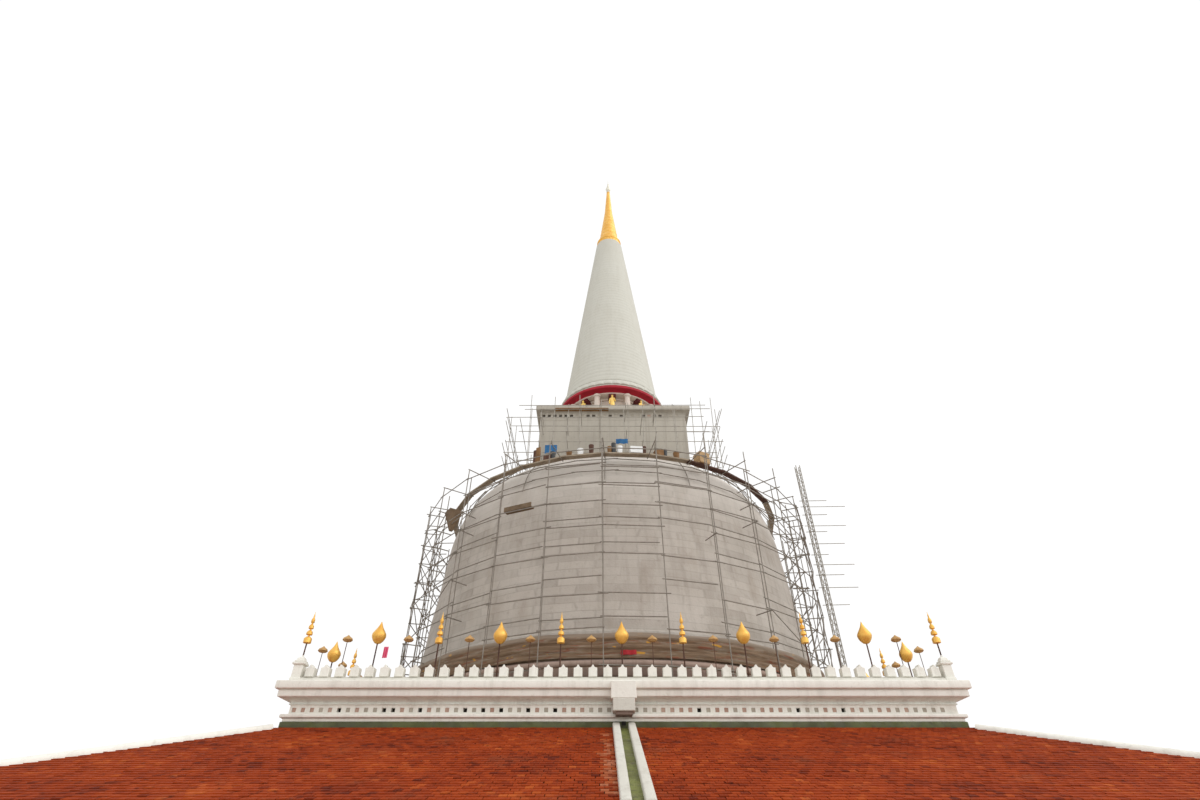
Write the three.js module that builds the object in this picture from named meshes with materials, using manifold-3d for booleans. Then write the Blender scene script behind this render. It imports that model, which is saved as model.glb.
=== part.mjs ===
// A great bell-shaped stupa of whitewashed brick, at half its real size.
// From the ground up: a lean-to gallery round the foot, a square base, a terrace with a merlon parapet that
// carries gilded ornaments on posts, ring mouldings, the bell, the square throne, a drum with columns and
// figures, a red canopy, the white ringed cone and its gilded tip. A repair scaffold stands on the terrace
// round the bell, and another stands on the bell's crown round the throne.
// Units are millimetres, +Z is up, and the front faces -Y.
import * as THREE from "three";
import { mergeVertices } from "three/addons/utils/BufferGeometryUtils.js";
import Module from "manifold-3d";

const wasm = await Module();
wasm.setup();

// Sizes below are the real building's metres times M, so the whole model is drawn at one to two.
const SCALE = 0.5;
const M = 1000 * SCALE;
const GAP = 0.3; // left between two pieces that touch
const ROUND_SIDES = 36; // sides of the round masonry
const QUARTER_TURN = Math.PI / 2;
const SIDES = ["front", "right", "back", "left"]; // each a quarter turn on from the last

// The square base and its terrace
const PLINTH_HALF = 19.2 * M;
const PLINTH_TOP = 0.2 * M;
const BASE_HALF = 11.2 * M;
const BASE_TOP = 5.3 * M;
const STRING_HALF = 11.65 * M;
const STRING_TOP = 5.58 * M;
const FRIEZE_HALF = 11.45 * M;
const FRIEZE_TOP = 5.88 * M;
const CORNICE_HALF = 11.95 * M;
const CORNICE_FASCIA = { half: 11.84 * M, foot: 6.08 * M }; // the lower of the cornice's two upright faces
const CORNICE_LIP = 6.32 * M; // where the upper face starts
const CORNICE_TOP = 6.5 * M;
const PAVING_HALF = 11.75 * M;
const TERRACE = 6.6 * M;
const SPOUT_BLOCK = { half: 0.43 * M, out: 0.3 * M, foot: 5.95 * M, lipFoot: 5.55 * M, lipBack: 11.68 * M };

// The lean-to gallery
const EAVES_HALF = 19.5 * M;
const EAVES_Z = 2.41 * M;
const ROOF_FALL = 0.345; // drop for each unit outwards
const ROOF_THICK = 0.19 * M; // measured upright
const ROOF_ANGLE = Math.atan(ROOF_FALL);
const ARCADE_HALF = 18.9 * M;
const COLUMN = 0.45 * M;
const ARCADE_BAYS = 12;
const BEAM_FOOT = 2.1 * M;
const ROOF_TRIM_START = 11.75 * M; // hips and gutters start clear of the string course
const HIP = { half: 0.2 * M, height: 0.18 * M };
const GUTTER = { half: 0.38 * M, channel: 0.14 * M, kerb: 0.22 * M, bed: 0.06 * M };

// The parapet
const PARAPET_OUTER = 11.62 * M;
const PARAPET_THICK = 0.3 * M;
const PIER = { outer: 11.67 * M, size: 0.36 * M, top: 7.5 * M };
const MERLONS = 43;
const MERLON_FOOT = 6.68 * M;
const MERLON_SHOULDER = 7.05 * M;
const MERLON_TOP = 7.16 * M;
const MERLON_SLOT = 0.2 * M;
const ORNAMENT_PITCH = 2.23 * M;
const ORNAMENTS_EACH_WAY = 4; // from the middle of a side towards each corner, which has its own
const ORNAMENT_FOOT = 7.9 * M;
const ORNAMENT_POST = 0.09 * M;
const ORNAMENT_SIDES = 5;

// The rings and the bell
const LOWER_RING = { radius: 10.6 * M, top: 7.65 * M };
const MIDDLE_RING = { radius: 10.4 * M, top: 8.5 * M };
const FOOT_RING = { radius: 10.22 * M, top: 8.8 * M };
const BELL = { foot: 10.12 * M, radius: 9.68 * M, spring: 13.4 * M, rise: 5.97 * M, crown: 18.55 * M };
const BELL_LEAN = 0.096; // how far the bell's side leans inwards for each unit upwards
const BELL_POWER = 4; // of the superellipse that rounds the shoulder
const BELL_STEPS = 8;

// The throne, the drum and the canopy
const THRONE_BASE = { half: 4.95 * M, top: 19.3 * M };
const THRONE_DIE = { half: 4.5 * M, top: 22.95 * M };
const THRONE_CAP = { half: 4.72 * M, neck: 4.42 * M, frieze: 23.3 * M, lip: 23.55 * M, top: 23.9 * M };
const DRUM = { foot: 3.5 * M, footTop: 24.3 * M, radius: 2.7 * M, top: 26.0 * M };
const DRUM_COLUMNS = { count: 10, ring: 3.1 * M, radius: 0.2 * M, footTop: 24.45 * M, sides: 8 };
const FIGURE = { ring: 2.85 * M, radius: 0.24 * M, height: 1.45 * M };
const CANOPY = { inner: 2.95 * M, outer: 3.66 * M, rim: 0.12 * M, top: 26.4 * M };
const CANOPY_BRACKET = { half: 0.24 * M, out: 3.3 * M, drop: 0.22 * M };

// The cone and its gilded tip
const CONE_FOOT = { radius: 3.68 * M, waist: 3.42 * M, top: 27.25 * M };
const CONE = { low: 3.3 * M, high: 1.12 * M, top: 45.0 * M };
const GOLD_COLLAR = { radius: 1.06 * M, neck: 0.94 * M, top: 45.9 * M };
const GOLD_SPIRE = { low: 0.86 * M, middle: 0.36 * M, middleZ: 50.2 * M, high: 0.15 * M, top: 53.6 * M };
const TIP = { bulb: 0.24 * M, bulbZ: 54.15 * M, neck: 0.09 * M, neckZ: 54.7 * M, top: 55.78 * M };
const CONE_SIDES = 32;
const TIP_SIDES = 16;

// The repair scaffolds
const BELL_SCAFFOLD = { facets: 14, inner: 10.9 * M, top: 17.3 * M, lifts: 5 };
const BELL_SCAFFOLD_HEADS = [0.9 * M, 0.3 * M, 0.6 * M]; // the poles reach past the top rail by these in turn
const BELL_SCAFFOLD_TURN = (-3 * Math.PI) / 180; // the first panel stands a little left of the front
const SCAFFOLD_DECK = { near: 9.25 * M, far: 9.6 * M, thick: 0.08 * M };
const THRONE_SCAFFOLD = { inner: 6.2 * M, foot: 15.6 * M, top: 23.9 * M, bays: 4, lift: 1.6 * M, lifts: 3 };
const MAST = { half: 0.16 * M, x: 9.57 * M, y: -7.08 * M, top: 18.1 * M };
const POLE = 0.11 * M;
const FIRST_RAIL = 0.35 * M; // height of the lowest rail above the terrace

// One finish for each kind of surface.
function finish(color, roughness, metalness = 0) {
  return new THREE.MeshStandardMaterial({ color, roughness, metalness });
}
const limewash = finish(0xd9d6cc, 0.85);
const bellPlaster = finish(0xa79d92, 0.9);
const stainedPlaster = finish(0x8a735f, 0.9);
const clayTile = finish(0xa8431f, 0.8);
const glazedGreen = finish(0x5f6f4e, 0.5);
const redPaint = finish(0x96101f, 0.55);
const goldLeaf = finish(0xe0a53a, 0.3, 1);
const paleMetal = finish(0xd8d4c4, 0.3, 0.6);
const scaffoldPole = finish(0x77726c, 0.7, 0.2);
const plankWood = finish(0x8a6f4e, 0.85);
const pavement = finish(0xb4aca0, 0.9);

const stupa = new THREE.Group();

function piece(name, geometry, material, parent = stupa) {
  const mesh = new THREE.Mesh(geometry, material);
  mesh.name = name;
  parent.add(mesh);
  return mesh;
}

// A group turned to one of the four sides, so that -Y in it faces outwards there.
function sideGroup(index) {
  const group = new THREE.Group();
  group.rotation.z = index * QUARTER_TURN;
  stupa.add(group);
  return group;
}

// A closed geometry as a solid that can be joined and cut.
function toSolid(geometry) {
  const bare = geometry.index ? geometry.toNonIndexed() : geometry.clone();
  bare.deleteAttribute("normal");
  bare.deleteAttribute("uv");
  const merged = mergeVertices(bare, 1e-3);
  return new wasm.Manifold(
    new wasm.Mesh({
      numProp: 3,
      vertProperties: merged.attributes.position.array,
      triVerts: new Uint32Array(merged.index.array),
    }),
  );
}

// A solid's surface as a geometry again.
function toGeometry(solid) {
  const mesh = solid.getMesh();
  const places = new Float32Array(mesh.numVert * 3);
  for (let i = 0; i < mesh.numVert; i++) {
    const start = i * mesh.numProp;
    places.set(mesh.vertProperties.subarray(start, start + 3), i * 3);
  }
  const geometry = new THREE.BufferGeometry();
  geometry.setAttribute("position", new THREE.BufferAttribute(places, 3));
  geometry.setIndex(new THREE.BufferAttribute(mesh.triVerts, 1));
  return geometry;
}

// A box between two corners.
function block(low, high) {
  const size = high.map((value, i) => value - low[i]);
  const centre = high.map((value, i) => (value + low[i]) / 2);
  return new THREE.BoxGeometry(...size).translate(...centre);
}

// A round piece: its outline is a list of [radius, height] from the foot up, closed on the axis.
function turned(outline, sides = ROUND_SIDES) {
  const points = [[0, outline[0][1]], ...outline, [0, outline.at(-1)[1]]];
  const profile = points.map(([r, z]) => new THREE.Vector2(r, z));
  return new THREE.LatheGeometry(profile, sides).rotateX(QUARTER_TURN);
}

// A square piece with mitred corners: its outline is a list of [half width, height] from the foot up.
function squared(outline) {
  const points = [[0, outline[0][1]], ...outline, [0, outline.at(-1)[1]]];
  const profile = points.map(([half, z]) => new THREE.Vector2(half * Math.SQRT2, z));
  return new THREE.LatheGeometry(profile, 4, Math.PI / 4).rotateX(QUARTER_TURN);
}

// An outline without the points that lie on a straight line between their neighbours.
function withoutStraightPoints(outline) {
  return outline.filter(([x, z], i) => {
    const [x0, z0] = outline.at(i - 1);
    const [x1, z1] = outline[(i + 1) % outline.length];
    return Math.abs((x - x0) * (z1 - z) - (z - z0) * (x1 - x)) > 1e-6;
  });
}

// A flat upright plate: the outline is a list of [x, z], and the plate grows outwards from y = -inner.
function plate(outline, inner, thick) {
  const corners = withoutStraightPoints(outline);
  const shape = new THREE.Shape(corners.map(([x, z]) => new THREE.Vector2(x, z)));
  const geometry = new THREE.ExtrudeGeometry(shape, { depth: thick, bevelEnabled: false });
  return geometry.rotateX(QUARTER_TURN).translate(0, -inner, 0);
}

// The solid between two polygons with the same number of corners, each a fan about its first corner.
function loft(near, far) {
  const count = near.length;
  const corners = [...near, ...far];
  const triangles = [];
  for (let i = 0; i < count; i++) {
    const next = (i + 1) % count;
    triangles.push([i, next, count + next], [i, count + next, count + i]);
  }
  for (let i = 1; i < count - 1; i++) {
    triangles.push([0, i + 1, i], [count, count + i, count + i + 1]);
  }
  const volume = triangles.reduce((sum, [a, b, c]) => {
    const [p, q, r] = [a, b, c].map((i) => new THREE.Vector3(...corners[i]));
    return sum + p.dot(q.cross(r));
  }, 0);
  const outward = volume < 0 ? triangles.map(([a, b, c]) => [a, c, b]) : triangles;
  const geometry = new THREE.BufferGeometry();
  geometry.setAttribute("position", new THREE.Float32BufferAttribute(corners.flat(), 3));
  geometry.setIndex(outward.flat());
  return geometry;
}

// Height of the tiled roof's upper face at a distance outwards from the axis.
function roofHeight(outwards) {
  return EAVES_Z + (EAVES_HALF - outwards) * ROOF_FALL;
}

// The masonry core: plinth, square base and the courses that carry the terrace.
function buildBase() {
  piece("ground_plinth", squared([[PLINTH_HALF, 0], [PLINTH_HALF, PLINTH_TOP]]), pavement);
  piece("base_wall", squared([[BASE_HALF, PLINTH_TOP + GAP], [BASE_HALF, BASE_TOP]]), limewash);
  piece("string_course", squared([[STRING_HALF, BASE_TOP + GAP], [STRING_HALF, STRING_TOP]]), limewash);
  piece("frieze", squared([[FRIEZE_HALF, STRING_TOP + GAP], [FRIEZE_HALF, FRIEZE_TOP]]), limewash);
  piece("cornice", cornice(), limewash);
  piece("terrace_paving", squared([[PAVING_HALF, CORNICE_TOP + GAP], [PAVING_HALF, TERRACE]]), pavement);
}

// A cove's outline: a quarter of an ellipse that starts upright and sweeps outwards.
function cove(half, foot, topHalf, top) {
  const steps = 4;
  return Array.from({ length: steps + 1 }, (_, i) => {
    const turn = (i / steps) * QUARTER_TURN;
    return [half + (topHalf - half) * (1 - Math.cos(turn)), foot + (top - foot) * Math.sin(turn)];
  });
}

// The cornice: a cove that sweeps out to two upright faces, with a spout block in the middle of each side.
// The block's lower part hangs clear in front of the string course.
function cornice() {
  const outline = cove(FRIEZE_HALF, FRIEZE_TOP + GAP, CORNICE_FASCIA.half, CORNICE_FASCIA.foot);
  outline.push([CORNICE_FASCIA.half, CORNICE_LIP], [CORNICE_HALF, CORNICE_LIP], [CORNICE_HALF, CORNICE_TOP]);
  let solid = toSolid(squared(outline));
  SIDES.forEach((_, index) => {
    const { half, out, foot, lipFoot, lipBack } = SPOUT_BLOCK;
    const front = -CORNICE_HALF - out;
    const spout = toSolid(block([-half, front, foot], [half, -FRIEZE_HALF, CORNICE_TOP]));
    const lip = toSolid(block([-half, front, lipFoot], [half, -lipBack, foot + GAP]));
    solid = solid.add(spout.add(lip).rotate([0, 0, index * 90]));
  });
  return toGeometry(solid);
}

// One side of the gallery: columns under a beam, cut to the slope of the roof. It starts with the corner
// column and ends against the corner column of the next side.
function arcade() {
  const start = -ARCADE_HALF;
  const end = ARCADE_HALF - COLUMN - GAP;
  const pitch = (2 * ARCADE_HALF - COLUMN) / ARCADE_BAYS;
  const foot = PLINTH_TOP + GAP;
  const head = roofHeight(ARCADE_HALF - COLUMN);
  const outline = [];
  for (let i = 0; i < ARCADE_BAYS; i++) {
    const x = start + i * pitch;
    outline.push([x, foot], [x + COLUMN, foot], [x + COLUMN, BEAM_FOOT]);
    outline.push([i < ARCADE_BAYS - 1 ? x + pitch : end, BEAM_FOOT]);
  }
  outline.push([end, head], [start, head]);
  const beamAndColumns = toSolid(plate(outline, ARCADE_HALF - COLUMN, COLUMN));
  return toGeometry(underRoof(underRoof(beamAndColumns, 0, -1), -1, 0));
}

// Keeps the part of a solid that lies under the roof of the side facing (x, y).
function underRoof(solid, x, y) {
  const underside = roofHeight(0) - ROOF_THICK - 2 * GAP;
  const [sine, cosine] = [Math.sin(ROOF_ANGLE), Math.cos(ROOF_ANGLE)];
  return solid.trimByPlane([-x * sine, -y * sine, -cosine], -underside * cosine);
}

// One lean-to roof slab: its ends are mitred along the corner diagonals.
function roofSlab() {
  const near = BASE_HALF + GAP;
  const section = (outwards) => {
    const half = outwards - GAP;
    const top = roofHeight(outwards);
    const bottom = top - ROOF_THICK;
    return [
      [-half, -outwards, bottom],
      [half, -outwards, bottom],
      [half, -outwards, top],
      [-half, -outwards, top],
    ];
  };
  return loft(section(near), section(EAVES_HALF));
}

// The white mortar hip that covers the joint of two roof slabs, from the base down to the eaves corner.
function hip() {
  const section = (outwards) => {
    const crest = roofHeight(outwards);
    const reach = HIP.half * Math.SQRT1_2;
    const at = (side, z) => [outwards + side * reach, -outwards + side * reach, z];
    const seat = crest - ROOF_FALL * reach + 2 * GAP;
    const top = crest + HIP.height;
    return [at(0, crest + 2 * GAP), at(1, seat), at(1, top), at(-1, top), at(-1, seat)];
  };
  return loft(section(ROOF_TRIM_START), section(EAVES_HALF));
}

// The open gutter that carries the terrace's water down the middle of a roof: two kerbs and a bed.
function gutter() {
  const { half, channel, kerb, bed } = GUTTER;
  const outline = [
    [-half, 0],
    [half, 0],
    [half, kerb],
    [channel, kerb],
    [channel, bed],
    [-channel, bed],
    [-channel, kerb],
    [-half, kerb],
  ].map(([x, y]) => new THREE.Vector2(x, y));
  const length = (EAVES_HALF - ROOF_TRIM_START) / Math.cos(ROOF_ANGLE);
  return new THREE.ExtrudeGeometry(new THREE.Shape(outline), { depth: length, bevelEnabled: false });
}

function buildGallery() {
  SIDES.forEach((side, index) => {
    const group = sideGroup(index);
    piece(`gallery_arcade_${side}`, arcade(), limewash, group);
    piece(`gallery_roof_${side}`, roofSlab(), clayTile, group);
    piece(`roof_hip_${side}`, hip(), limewash, group);
    const channel = piece(`roof_gutter_${side}`, gutter(), glazedGreen, group);
    channel.rotation.x = QUARTER_TURN + ROOF_ANGLE;
    channel.position.set(0, -ROOF_TRIM_START, roofHeight(ROOF_TRIM_START) + 2 * GAP);
  });
}

// The two ornaments that take turns on the posts.
// An outline is a list of [share of the radius, share of the height].
const UMBRELLA_OUTLINE = [[0.9, 0], [0.4, 0.3], [0.75, 0.33], [0.3, 0.62], [0.06, 1]];
const UMBRELLA = { outline: UMBRELLA_OUTLINE, radius: 0.15 * M, top: 9.06 * M };
const BUD_OUTLINE = [[0.4, 0], [1, 0.26], [0.34, 0.62], [0.05, 1]];
const BUD = { outline: BUD_OUTLINE, radius: 0.25 * M, top: 8.7 * M };

function ornament(index) {
  const { outline, radius, top } = index % 2 === 0 ? BUD : UMBRELLA;
  const height = top - ORNAMENT_FOOT;
  return turned(outline.map(([r, z]) => [r * radius, ORNAMENT_FOOT + z * height]), ORNAMENT_SIDES);
}

function postWithOrnament(index, x, y) {
  const half = ORNAMENT_POST / 2;
  const post = block([x - half, y - half, MERLON_FOOT], [x + half, y + half, ORNAMENT_FOOT + half]);
  return toSolid(post).add(toSolid(ornament(index).translate(x, y, 0)));
}

// One side of the parapet: a low wall of pointed merlons between two corner piers, one of them its own,
// with the posts and the ornaments that stand along it and on its pier.
function parapet() {
  const reach = PIER.outer - PIER.size;
  const pitch = (2 * reach) / MERLONS;
  const foot = TERRACE + GAP;
  const outline = [[-reach - GAP, foot], [reach - GAP, foot]];
  for (let i = MERLONS - 1; i >= 0; i--) {
    const x = -reach + (i + 0.5) * pitch;
    const half = (pitch - MERLON_SLOT) / 2;
    const right = i === MERLONS - 1 ? reach - GAP : x + half;
    const left = i === 0 ? -reach - GAP : x - half;
    outline.push([right, MERLON_FOOT], [x + half, MERLON_SHOULDER], [x, MERLON_TOP]);
    outline.push([x - half, MERLON_SHOULDER], [left, MERLON_FOOT]);
  }
  let solid = toSolid(plate(outline, PARAPET_OUTER - PARAPET_THICK, PARAPET_THICK));
  solid = solid.add(toSolid(cornerPier()));
  const middle = PARAPET_OUTER - PARAPET_THICK / 2;
  for (let k = -ORNAMENTS_EACH_WAY; k <= ORNAMENTS_EACH_WAY; k++) {
    solid = solid.add(postWithOrnament(k, k * ORNAMENT_PITCH, -middle));
  }
  const pierCentre = PIER.outer - PIER.size / 2;
  return toGeometry(solid.add(postWithOrnament(ORNAMENTS_EACH_WAY + 1, -pierCentre, -pierCentre)));
}

// The square pier at the left end of a parapet, with a pointed cap.
function cornerPier() {
  const { outer, size, top } = PIER;
  const centre = outer - size / 2;
  const capFoot = top - size / 2;
  const shaft = [[size / 2, TERRACE + GAP], [size / 2, capFoot]];
  return squared([...shaft, [0.62 * size, capFoot], [0.62 * size, capFoot + 0.12 * size], [0.04 * size, top]])
    .translate(-centre, -centre, 0);
}

function buildParapets() {
  SIDES.forEach((side, index) => piece(`parapet_${side}`, parapet(), limewash, sideGroup(index)));
}

// The two rings under the bell, each stepped in from the one below.
function buildRings() {
  const lower = [[LOWER_RING.radius, TERRACE + GAP], [LOWER_RING.radius, LOWER_RING.top - 0.2 * M]];
  lower.push([LOWER_RING.radius - 0.15 * M, LOWER_RING.top]);
  piece("lower_ring", turned(lower), bellPlaster);
  const bulge = 0.12 * M;
  const middleHeight = MIDDLE_RING.top - LOWER_RING.top;
  const middle = [[MIDDLE_RING.radius - bulge, LOWER_RING.top + GAP]];
  middle.push([MIDDLE_RING.radius, LOWER_RING.top + 0.3 * middleHeight]);
  middle.push([MIDDLE_RING.radius, LOWER_RING.top + 0.7 * middleHeight]);
  middle.push([MIDDLE_RING.radius - bulge, MIDDLE_RING.top]);
  piece("middle_ring", turned(middle), stainedPlaster);
}

// The bell's outline: a foot ring, a side that leans inwards a little, then a superellipse shoulder that
// keeps that lean, cut flat at the crown. It can be grown outwards.
function bellOutline(growth = 0) {
  const { foot, radius, spring, rise, crown } = BELL;
  const crownShare = (crown - spring) / rise;
  const lastTurn = Math.asin(crownShare ** (BELL_POWER / 2));
  const ring = FOOT_RING.radius + growth;
  const outline = [[ring, MIDDLE_RING.top + GAP], [ring, FOOT_RING.top], [foot + growth, FOOT_RING.top]];
  for (let i = 0; i <= BELL_STEPS; i++) {
    const turn = (i / BELL_STEPS) ** 0.75 * lastTurn;
    const climb = rise * Math.sin(turn) ** (2 / BELL_POWER);
    const r = (radius - BELL_LEAN * climb) * Math.cos(turn) ** (2 / BELL_POWER);
    outline.push([r + growth, spring + climb + growth]);
  }
  return outline;
}

// The throne: a base step, the die, and a cap with a frieze, a cove and an upright lip, all square.
function buildThrone() {
  const { half, top } = THRONE_BASE;
  piece("throne_base", squared([[half, BELL.crown + GAP], [half, top]]), limewash);
  const die = [[THRONE_DIE.half, top + GAP], [THRONE_DIE.half, THRONE_DIE.top]];
  piece("throne_die", squared(die), limewash);
  const { neck, frieze, lip } = THRONE_CAP;
  const cap = [[neck, THRONE_DIE.top + GAP], ...cove(neck, frieze, THRONE_CAP.half, lip)];
  cap.push([THRONE_CAP.half, THRONE_CAP.top]);
  piece("throne_cap", squared(cap), limewash);
}

// Something repeated round the axis, at a distance from it, joined into one solid with a core.
function ringOf(core, count, offsetTurn, make) {
  let solid = toSolid(core);
  for (let i = 0; i < count; i++) {
    solid = solid.add(toSolid(make().rotateZ(((i + offsetTurn) / count) * 2 * Math.PI)));
  }
  return toGeometry(solid);
}

// The drum with its standing figures, the columns on their foot ring, and the red canopy with its brackets.
function buildDrum() {
  const count = DRUM_COLUMNS.count;
  const core = turned([
    [DRUM.foot, THRONE_CAP.top + GAP],
    [DRUM.foot, DRUM.footTop],
    [DRUM.radius, DRUM.footTop],
    [DRUM.radius, DRUM.top],
  ]);
  const figure = () => {
    const foot = DRUM.footTop - GAP;
    const { radius, height, ring } = FIGURE;
    const outline = [[radius, foot], [0.7 * radius, foot + 0.5 * height], [radius, foot + 0.72 * height]];
    outline.push([0.3 * radius, foot + 0.86 * height], [0.15 * radius, foot + height]);
    return turned(outline, ORNAMENT_SIDES).translate(0, -ring, 0);
  };
  piece("drum", ringOf(core, count, 0, figure), limewash);
  const outerFoot = DRUM.foot - 0.05 * M;
  const innerFoot = FIGURE.ring + FIGURE.radius + 0.02 * M;
  const footRing = new THREE.LatheGeometry(
    [
      new THREE.Vector2(innerFoot, DRUM.footTop + GAP),
      new THREE.Vector2(outerFoot, DRUM.footTop + GAP),
      new THREE.Vector2(outerFoot, DRUM_COLUMNS.footTop),
      new THREE.Vector2(innerFoot, DRUM_COLUMNS.footTop),
      new THREE.Vector2(innerFoot, DRUM.footTop + GAP),
    ],
    ROUND_SIDES,
  ).rotateX(QUARTER_TURN);
  const column = () => {
    const { radius, ring, sides } = DRUM_COLUMNS;
    const shaft = turned([[radius, DRUM.footTop + GAP], [radius, DRUM.top - GAP]], sides);
    return shaft.translate(0, -ring - radius / 2, 0);
  };
  piece("drum_columns", ringOf(footRing, count, 0.5, column), limewash);
  const { inner, outer, rim } = CANOPY;
  const canopy = turned([[inner, DRUM.top + GAP], [outer, CANOPY.top - rim], [outer, CANOPY.top]]);
  const bracket = () => {
    const { half, out, drop } = CANOPY_BRACKET;
    return block([-half, -out, DRUM.top - drop], [half, -DRUM.radius - GAP, DRUM.top + 0.2 * M]);
  };
  piece("canopy", ringOf(canopy, count, 0, bracket), redPaint);
}

// The cone on its lotus moulding, then the gilded collar, the gilded spire and the pale tip.
function buildSpire() {
  const { radius, waist, top } = CONE_FOOT;
  const coneFoot = [[radius - 0.12 * M, CANOPY.top + GAP], [radius, CANOPY.top + 0.15 * M]];
  coneFoot.push([radius, CANOPY.top + 0.4 * M], [waist, top]);
  piece("cone_foot", turned(coneFoot, CONE_SIDES), limewash);
  piece("ringed_cone", turned([[CONE.low, top + GAP], [CONE.high, CONE.top]], CONE_SIDES), limewash);
  const collar = [[GOLD_COLLAR.neck, CONE.top + GAP], [GOLD_COLLAR.radius, CONE.top + 0.3 * M]];
  collar.push([GOLD_COLLAR.radius, CONE.top + 0.5 * M], [GOLD_COLLAR.neck, GOLD_COLLAR.top]);
  piece("gold_collar", turned(collar, TIP_SIDES), goldLeaf);
  const spire = [[GOLD_SPIRE.low, GOLD_COLLAR.top + GAP], [GOLD_SPIRE.middle, GOLD_SPIRE.middleZ]];
  spire.push([GOLD_SPIRE.high, GOLD_SPIRE.top]);
  piece("gold_spire", turned(spire, TIP_SIDES), goldLeaf);
  const tip = [[GOLD_SPIRE.high, GOLD_SPIRE.top + GAP], [TIP.bulb, TIP.bulbZ], [TIP.neck, TIP.neckZ]];
  tip.push([TIP.neck, TIP.neckZ + 0.3 * M], [0.02 * M, TIP.top]);
  piece("spire_tip", turned(tip, TIP_SIDES), paleMetal);
}

// A flat lattice of upright poles and level rails, all one pole thick and joined where they cross.
// Feet and heads give how low and how high each pole reaches. It grows outwards from y = -inner.
function lattice(poles, rails, feet, heads, inner) {
  const half = POLE / 2;
  const [left, right] = [poles[0] - half, poles.at(-1) + half];
  const bars = poles.map((x, i) => block([x - half, -inner - POLE, feet[i]], [x + half, -inner, heads[i]]));
  bars.push(...rails.map((z) => block([left, -inner - POLE, z - half], [right, -inner, z + half])));
  return wasm.Manifold.union(bars.map(toSolid));
}

// Evenly spaced values from the first to the last.
function spread(first, last, count) {
  return Array.from({ length: count }, (_, i) => first + ((last - first) * i) / (count - 1));
}

// The bell's scaffold: upright panels that stand on the terrace, one for each side of a many-sided cage.
function buildBellScaffold() {
  const { facets, inner, top, lifts } = BELL_SCAFFOLD;
  const reach = inner * Math.tan(Math.PI / facets) - POLE / 2 - GAP;
  const poles = spread(-reach, reach, 3);
  const rails = spread(TERRACE + FIRST_RAIL, top, lifts + 1);
  const feet = poles.map(() => TERRACE + GAP);
  for (let i = 0; i < facets; i++) {
    const heads = poles.map((_, j) => top + BELL_SCAFFOLD_HEADS[(i + j) % BELL_SCAFFOLD_HEADS.length]);
    const panel = piece(
      `bell_scaffold_${String(i + 1).padStart(2, "0")}`,
      toGeometry(lattice(poles, rails, feet, heads, inner)),
      scaffoldPole,
    );
    panel.rotation.z = BELL_SCAFFOLD_TURN + (i / facets) * 2 * Math.PI;
  }
}

// The scaffold's top deck: a narrow ring of straight planks round the bell, on bearers that reach out to the
// middle pole of each panel.
function buildScaffoldDeck() {
  const { facets, inner, top } = BELL_SCAFFOLD;
  const { near, far, thick } = SCAFFOLD_DECK;
  const halfFacet = Math.PI / facets;
  const disc = (across, low, high) => {
    const corner = across / Math.cos(halfFacet);
    return toSolid(turned([[corner, low], [corner, high]], facets).rotateZ(halfFacet));
  };
  const planks = disc(far, top, top + thick).subtract(disc(near, top - thick, top + 2 * thick));
  const bearer = () => block([-POLE / 2, -inner + GAP, top], [POLE / 2, -far + POLE, top + thick]);
  const deck = piece("bell_scaffold_deck", ringOf(toGeometry(planks), facets, 0, bearer), plankWood);
  deck.rotation.z = BELL_SCAFFOLD_TURN;
}

// The hoist's mast, which stands on the terrace just outside the bell's scaffold.
function buildMast() {
  const { half, x, y, top } = MAST;
  piece("hoist_mast", block([x - half, y - half, TERRACE + GAP], [x + half, y + half, top]), scaffoldPole);
}

// The throne's scaffold: four panels whose poles stand on the bell's shoulder, so each is cut to its curve.
// A panel reaches past its own corner and ends against the next panel.
function buildThroneScaffold() {
  const { inner, foot, top, bays, lift, lifts } = THRONE_SCAFFOLD;
  const bell = toSolid(turned(bellOutline(GAP)));
  SIDES.forEach((side, index) => {
    const poles = spread(-inner - POLE / 2, inner - POLE / 2 - GAP, bays + 1);
    const rails = spread(top - lift * lifts, top, lifts + 1);
    const feet = poles.map(() => foot);
    const heads = poles.map((_, i) => top + (i % 2 ? 0.35 : 0.75) * M);
    const panel = lattice(poles, rails, feet, heads, inner).subtract(bell);
    piece(`throne_scaffold_${side}`, toGeometry(panel), scaffoldPole, sideGroup(index));
  });
}

buildBase();
buildGallery();
buildParapets();
buildRings();
piece("bell", turned(bellOutline()), bellPlaster);
buildThrone();
buildDrum();
buildSpire();
buildBellScaffold();
buildScaffoldDeck();
buildMast();
buildThroneScaffold();

export default stupa;
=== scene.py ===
# %% [markdown]
# # A bell-shaped stupa under a repair scaffold, at half its real size
# The stupa is a mass of brick, plastered and limewashed: a square base with a tiled gallery round its
# foot, a terrace with a parapet of merlons, rings, a bell, a square throne, a drum of columns, and a
# ringed cone with a gilded tip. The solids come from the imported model. This lesson dresses them: most
# pieces are surfaces worked out with numpy, because a round wall or a moulding is a short formula, and
# a formula is easy to change.

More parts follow.
